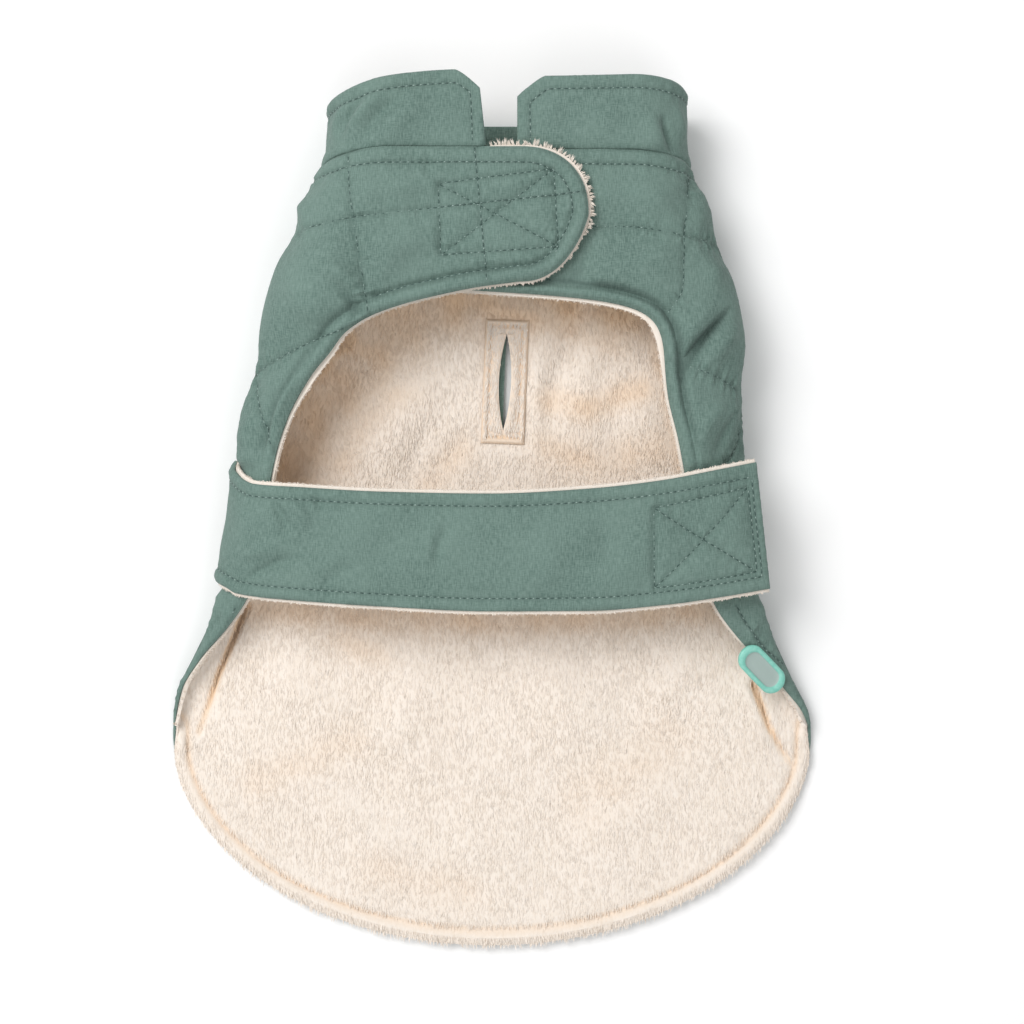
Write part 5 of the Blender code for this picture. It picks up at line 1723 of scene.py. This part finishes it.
def make_stitches():
    """Every row of thread on the outside of the coat: a piece of sunk parts in painted shade and a piece of
    raised ones in painted highlight.
    """
    rows = []
    for side in FRONTS:
        lines = LINES[side]
        paths = lines["quilt"] + [lines["topstitch"]]
        if side == "left":
            paths += box_paths(FLAP_BOX) + list(THREAD_ENDS)
        for path in paths:
            places = dense(path, 1.0)
            places = places[shown_on_front(side, places)]
            if len(places) > 4:
                rows.append(raised(to_girth(side, places), front_relief(side, places)[0] + THREAD_LIFT))
    places = dense(COLLAR_LINES["topstitch"], 1.0)
    rows.append(raised(places, collar_relief(places)[0] + THREAD_LIFT))
    face = strap_face(*STRAP_SHELL_GRID)
    out = -face_inward(face)
    strap = strap_rows()
    for path in [strap["topstitch"]] + strap["box"]:
        places = dense(path, 1.0)
        points, away = on_grid(face, out, places, STRAP_CUT)
        rows.append((points + away * (strap_relief(places)[0] + THREAD_LIFT)[:, None], away))
    rows += back_rows()
    # the sunk parts in painted shade, the raised parts in painted highlight
    threads = (("stitching", SHADED_DASH, SHADED_THREAD_FINISH), ("stitch_highlights", HIGHLIGHT_SPOT, HIGHLIGHT_THREAD_FINISH))
    for name, part, finish in threads:
        thread = make_mesh(name, *sew(rows, part), finish)
        seated(thread, [])


def shown_on_front(side, places):
    """True for places on a front's own cut that no other cloth presses on."""
    lines = LINES[side]
    from_edge, _ = nearest(places, lines["edge"])
    from_seam, _ = nearest(places, lines["seam"])
    girth = np.abs(to_girth(side, places)[:, 0])
    on_cut = girth > section(side, places[:, 1])["seam"] + 0.5
    return on_cut & (from_edge > 1.5) & (from_seam > 1.0)


def back_rows():
    """The back's quilting, a grid of straight rows that stops short of the neck, the hem, the side seams and
    the slit."""
    paths = []
    hem_drop = HALF_LENGTH + CORNER_Y
    for line in BACK_QUILT_GIRTH:
        reach = section("left" if line < 0 else "right", np.array(CORNER_Y))["seam"]
        low = CORNER_Y - hem_drop * np.sqrt(max(1.0 - (line / reach) ** 2, 0.0)) + 4.0
        y = np.arange(low, BACK_QUILT_TOP, 1.0)
        paths.append(np.stack([np.full_like(y, line), y], axis=-1))
    for y in BACK_QUILT_Y:
        below = max(0.0, (CORNER_Y - y) / hem_drop)
        share = np.sqrt(max(1.0 - below ** 2, 0.0))
        left, right = (section(side, np.array(max(y, CORNER_Y)))["seam"] * share - 3.0 for side in FRONTS)
        girth = np.arange(-left, right, 1.0)
        paths.append(np.stack([girth, np.full_like(girth, y)], axis=-1))
    rows = []
    for path in paths:
        points, out = raised(path, back_relief(path))
        x, y = points[:, 0] - SLIT_CENTRE[0], points[:, 1] - SLIT_CENTRE[1]
        clear = (np.abs(x) > SLIT_WIDTH / 2 + 2.0) | (np.abs(y) > SLIT_LENGTH / 2 + 2.0)
        points[:, 2] = np.maximum(points[:, 2], BACK_THREAD_LEVEL)
        rows.append((points[clear], out[clear]))
    return rows


def make_tag():
    """A moulded pill-shaped tag: TAG_PROFILE, carried round a pill whose straight sides shrink as
    sqrt(size) and whose round ends shrink as size."""
    length, width, thick = TAG_SIZE
    y = np.array([TAG_Y, TAG_Y + 4.0])
    girth = section("right", y)["edge"]
    centre, ahead = form(girth, y)
    along = unit(ahead - centre)
    outward = -inward(girth[:1] - 2.0, y[:1])[0]
    outward = unit(outward - along * np.dot(outward, along))
    across = np.cross(outward, along)
    middle = centre + across * TAG_OVERHANG
    size, height = np.array(TAG_PROFILE).T[:, :, None]
    turn = np.linspace(0.0, 2 * np.pi, TAG_TURNS + 1)[:-1]
    shift = (length - width) / 2 * np.clip(np.cos(turn) * 6.0, -1.0, 1.0)
    flat_along = shift * size ** 0.5 + width / 2 * size * np.cos(turn)
    flat_across = width / 2 * size * np.sin(turn)
    level = 2 * SEAM_GAP + height * thick
    points = middle + flat_along[..., None] * along + flat_across[..., None] * across
    points = points + level[..., None] * outward
    core = np.repeat((size < TAG_CORE_SIZE) & (height > 0.5), TAG_TURNS)
    faces = tube_faces(len(TAG_PROFILE), TAG_TURNS)
    tag = make_mesh("moulded_tag", points.reshape(-1, 3), faces, RUBBER)
    mark(tag.data, "core", core)
    weld = tag.modifiers.new("closed middle", "WELD")
    weld.merge_threshold = 0.00002
    seated(tag, ["edge_tag"])


def dress_patches():
    """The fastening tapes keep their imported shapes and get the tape's finish."""
    for name in ("flap_hook_patch", "chest_loop_patch", "strap_hook_patch", "side_loop_patch"):
        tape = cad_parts[name].data
        tape.materials.clear()
        tape.materials.append(TAPE_CLOTH)


# ---- room ----

def make_room():
    """A pale floor, a broad light from above the collar's left, a weaker one opposite, a white sky and the
    camera straight above."""
    mesh = bpy.data.meshes.new("floor")
    signs = ((-1, -1), (1, -1), (1, 1), (-1, 1))
    mesh.from_pydata([(x * FLOOR_HALF, y * FLOOR_HALF, FLOOR_LEVEL) for x, y in signs], [], [(0, 1, 2, 3)])
    floor = bpy.data.objects.new("floor", mesh)
    bpy.context.scene.collection.objects.link(floor)
    pale, _, _ = start_material("pale floor", (FLOOR_GREY, FLOOR_GREY, FLOOR_GREY), 0.9, specular=0.0)
    mesh.materials.append(pale)
    for name, given in (("key", KEY_LIGHT), ("fill", FILL_LIGHT)):
        light = bpy.data.lights.new(name, "AREA")
        light.size = given["size"]
        light.energy = given["power"]
        lamp = bpy.data.objects.new(name, light)
        bpy.context.scene.collection.objects.link(lamp)
        lamp.location = given["place"]
        x, y, z = given["place"]
        lamp.rotation_euler = (np.arctan2(np.hypot(x, y), z), 0.0, np.arctan2(-y, -x) - np.pi / 2)
    world = bpy.data.worlds.new("sky")
    world.use_nodes = True
    background = world.node_tree.nodes["Background"]
    background.inputs["Color"].default_value = (1.0, 1.0, 1.0, 1.0)
    background.inputs["Strength"].default_value = SKY
    bpy.context.scene.world = world
    camera = bpy.data.cameras.new("camera")
    camera.lens = CAMERA_LENS
    camera.sensor_width = 36.0
    view = bpy.data.objects.new("camera", camera)
    bpy.context.scene.collection.objects.link(view)
    view.location = CAMERA_PLACE
    bpy.context.scene.camera = view
    bpy.context.scene.view_settings.view_transform = "Standard"


STRAP_CUT = (float(lengths(strap_face(400, 2)[:, 1])[-1]), STRAP_WIDTH)
LINES = {side: front_lines(side) for side in FRONTS}
COLLAR_LINES = collar_lines()

SHELL_CLOTH = shell_finish()
PLUSH = plush_finish()
# one thread in two tones: painted shade for the sunk parts, painted highlight for the raised ones
SHADED_THREAD_FINISH = thread_finish("painted shade thread", THREAD_SHADED, THREAD_SHADED_DEEP)
HIGHLIGHT_THREAD_FINISH = thread_finish("painted highlight thread", THREAD_HIGHLIGHT, THREAD_GLINT)
TAPE_CLOTH = tape_finish()
RUBBER = rubber_finish()

make_room()
back, lining = make_back()
make_facing()
fronts = [make_front(side) for side in FRONTS]
make_collar()
make_strap()
make_stitches()
make_tag()
dress_patches()
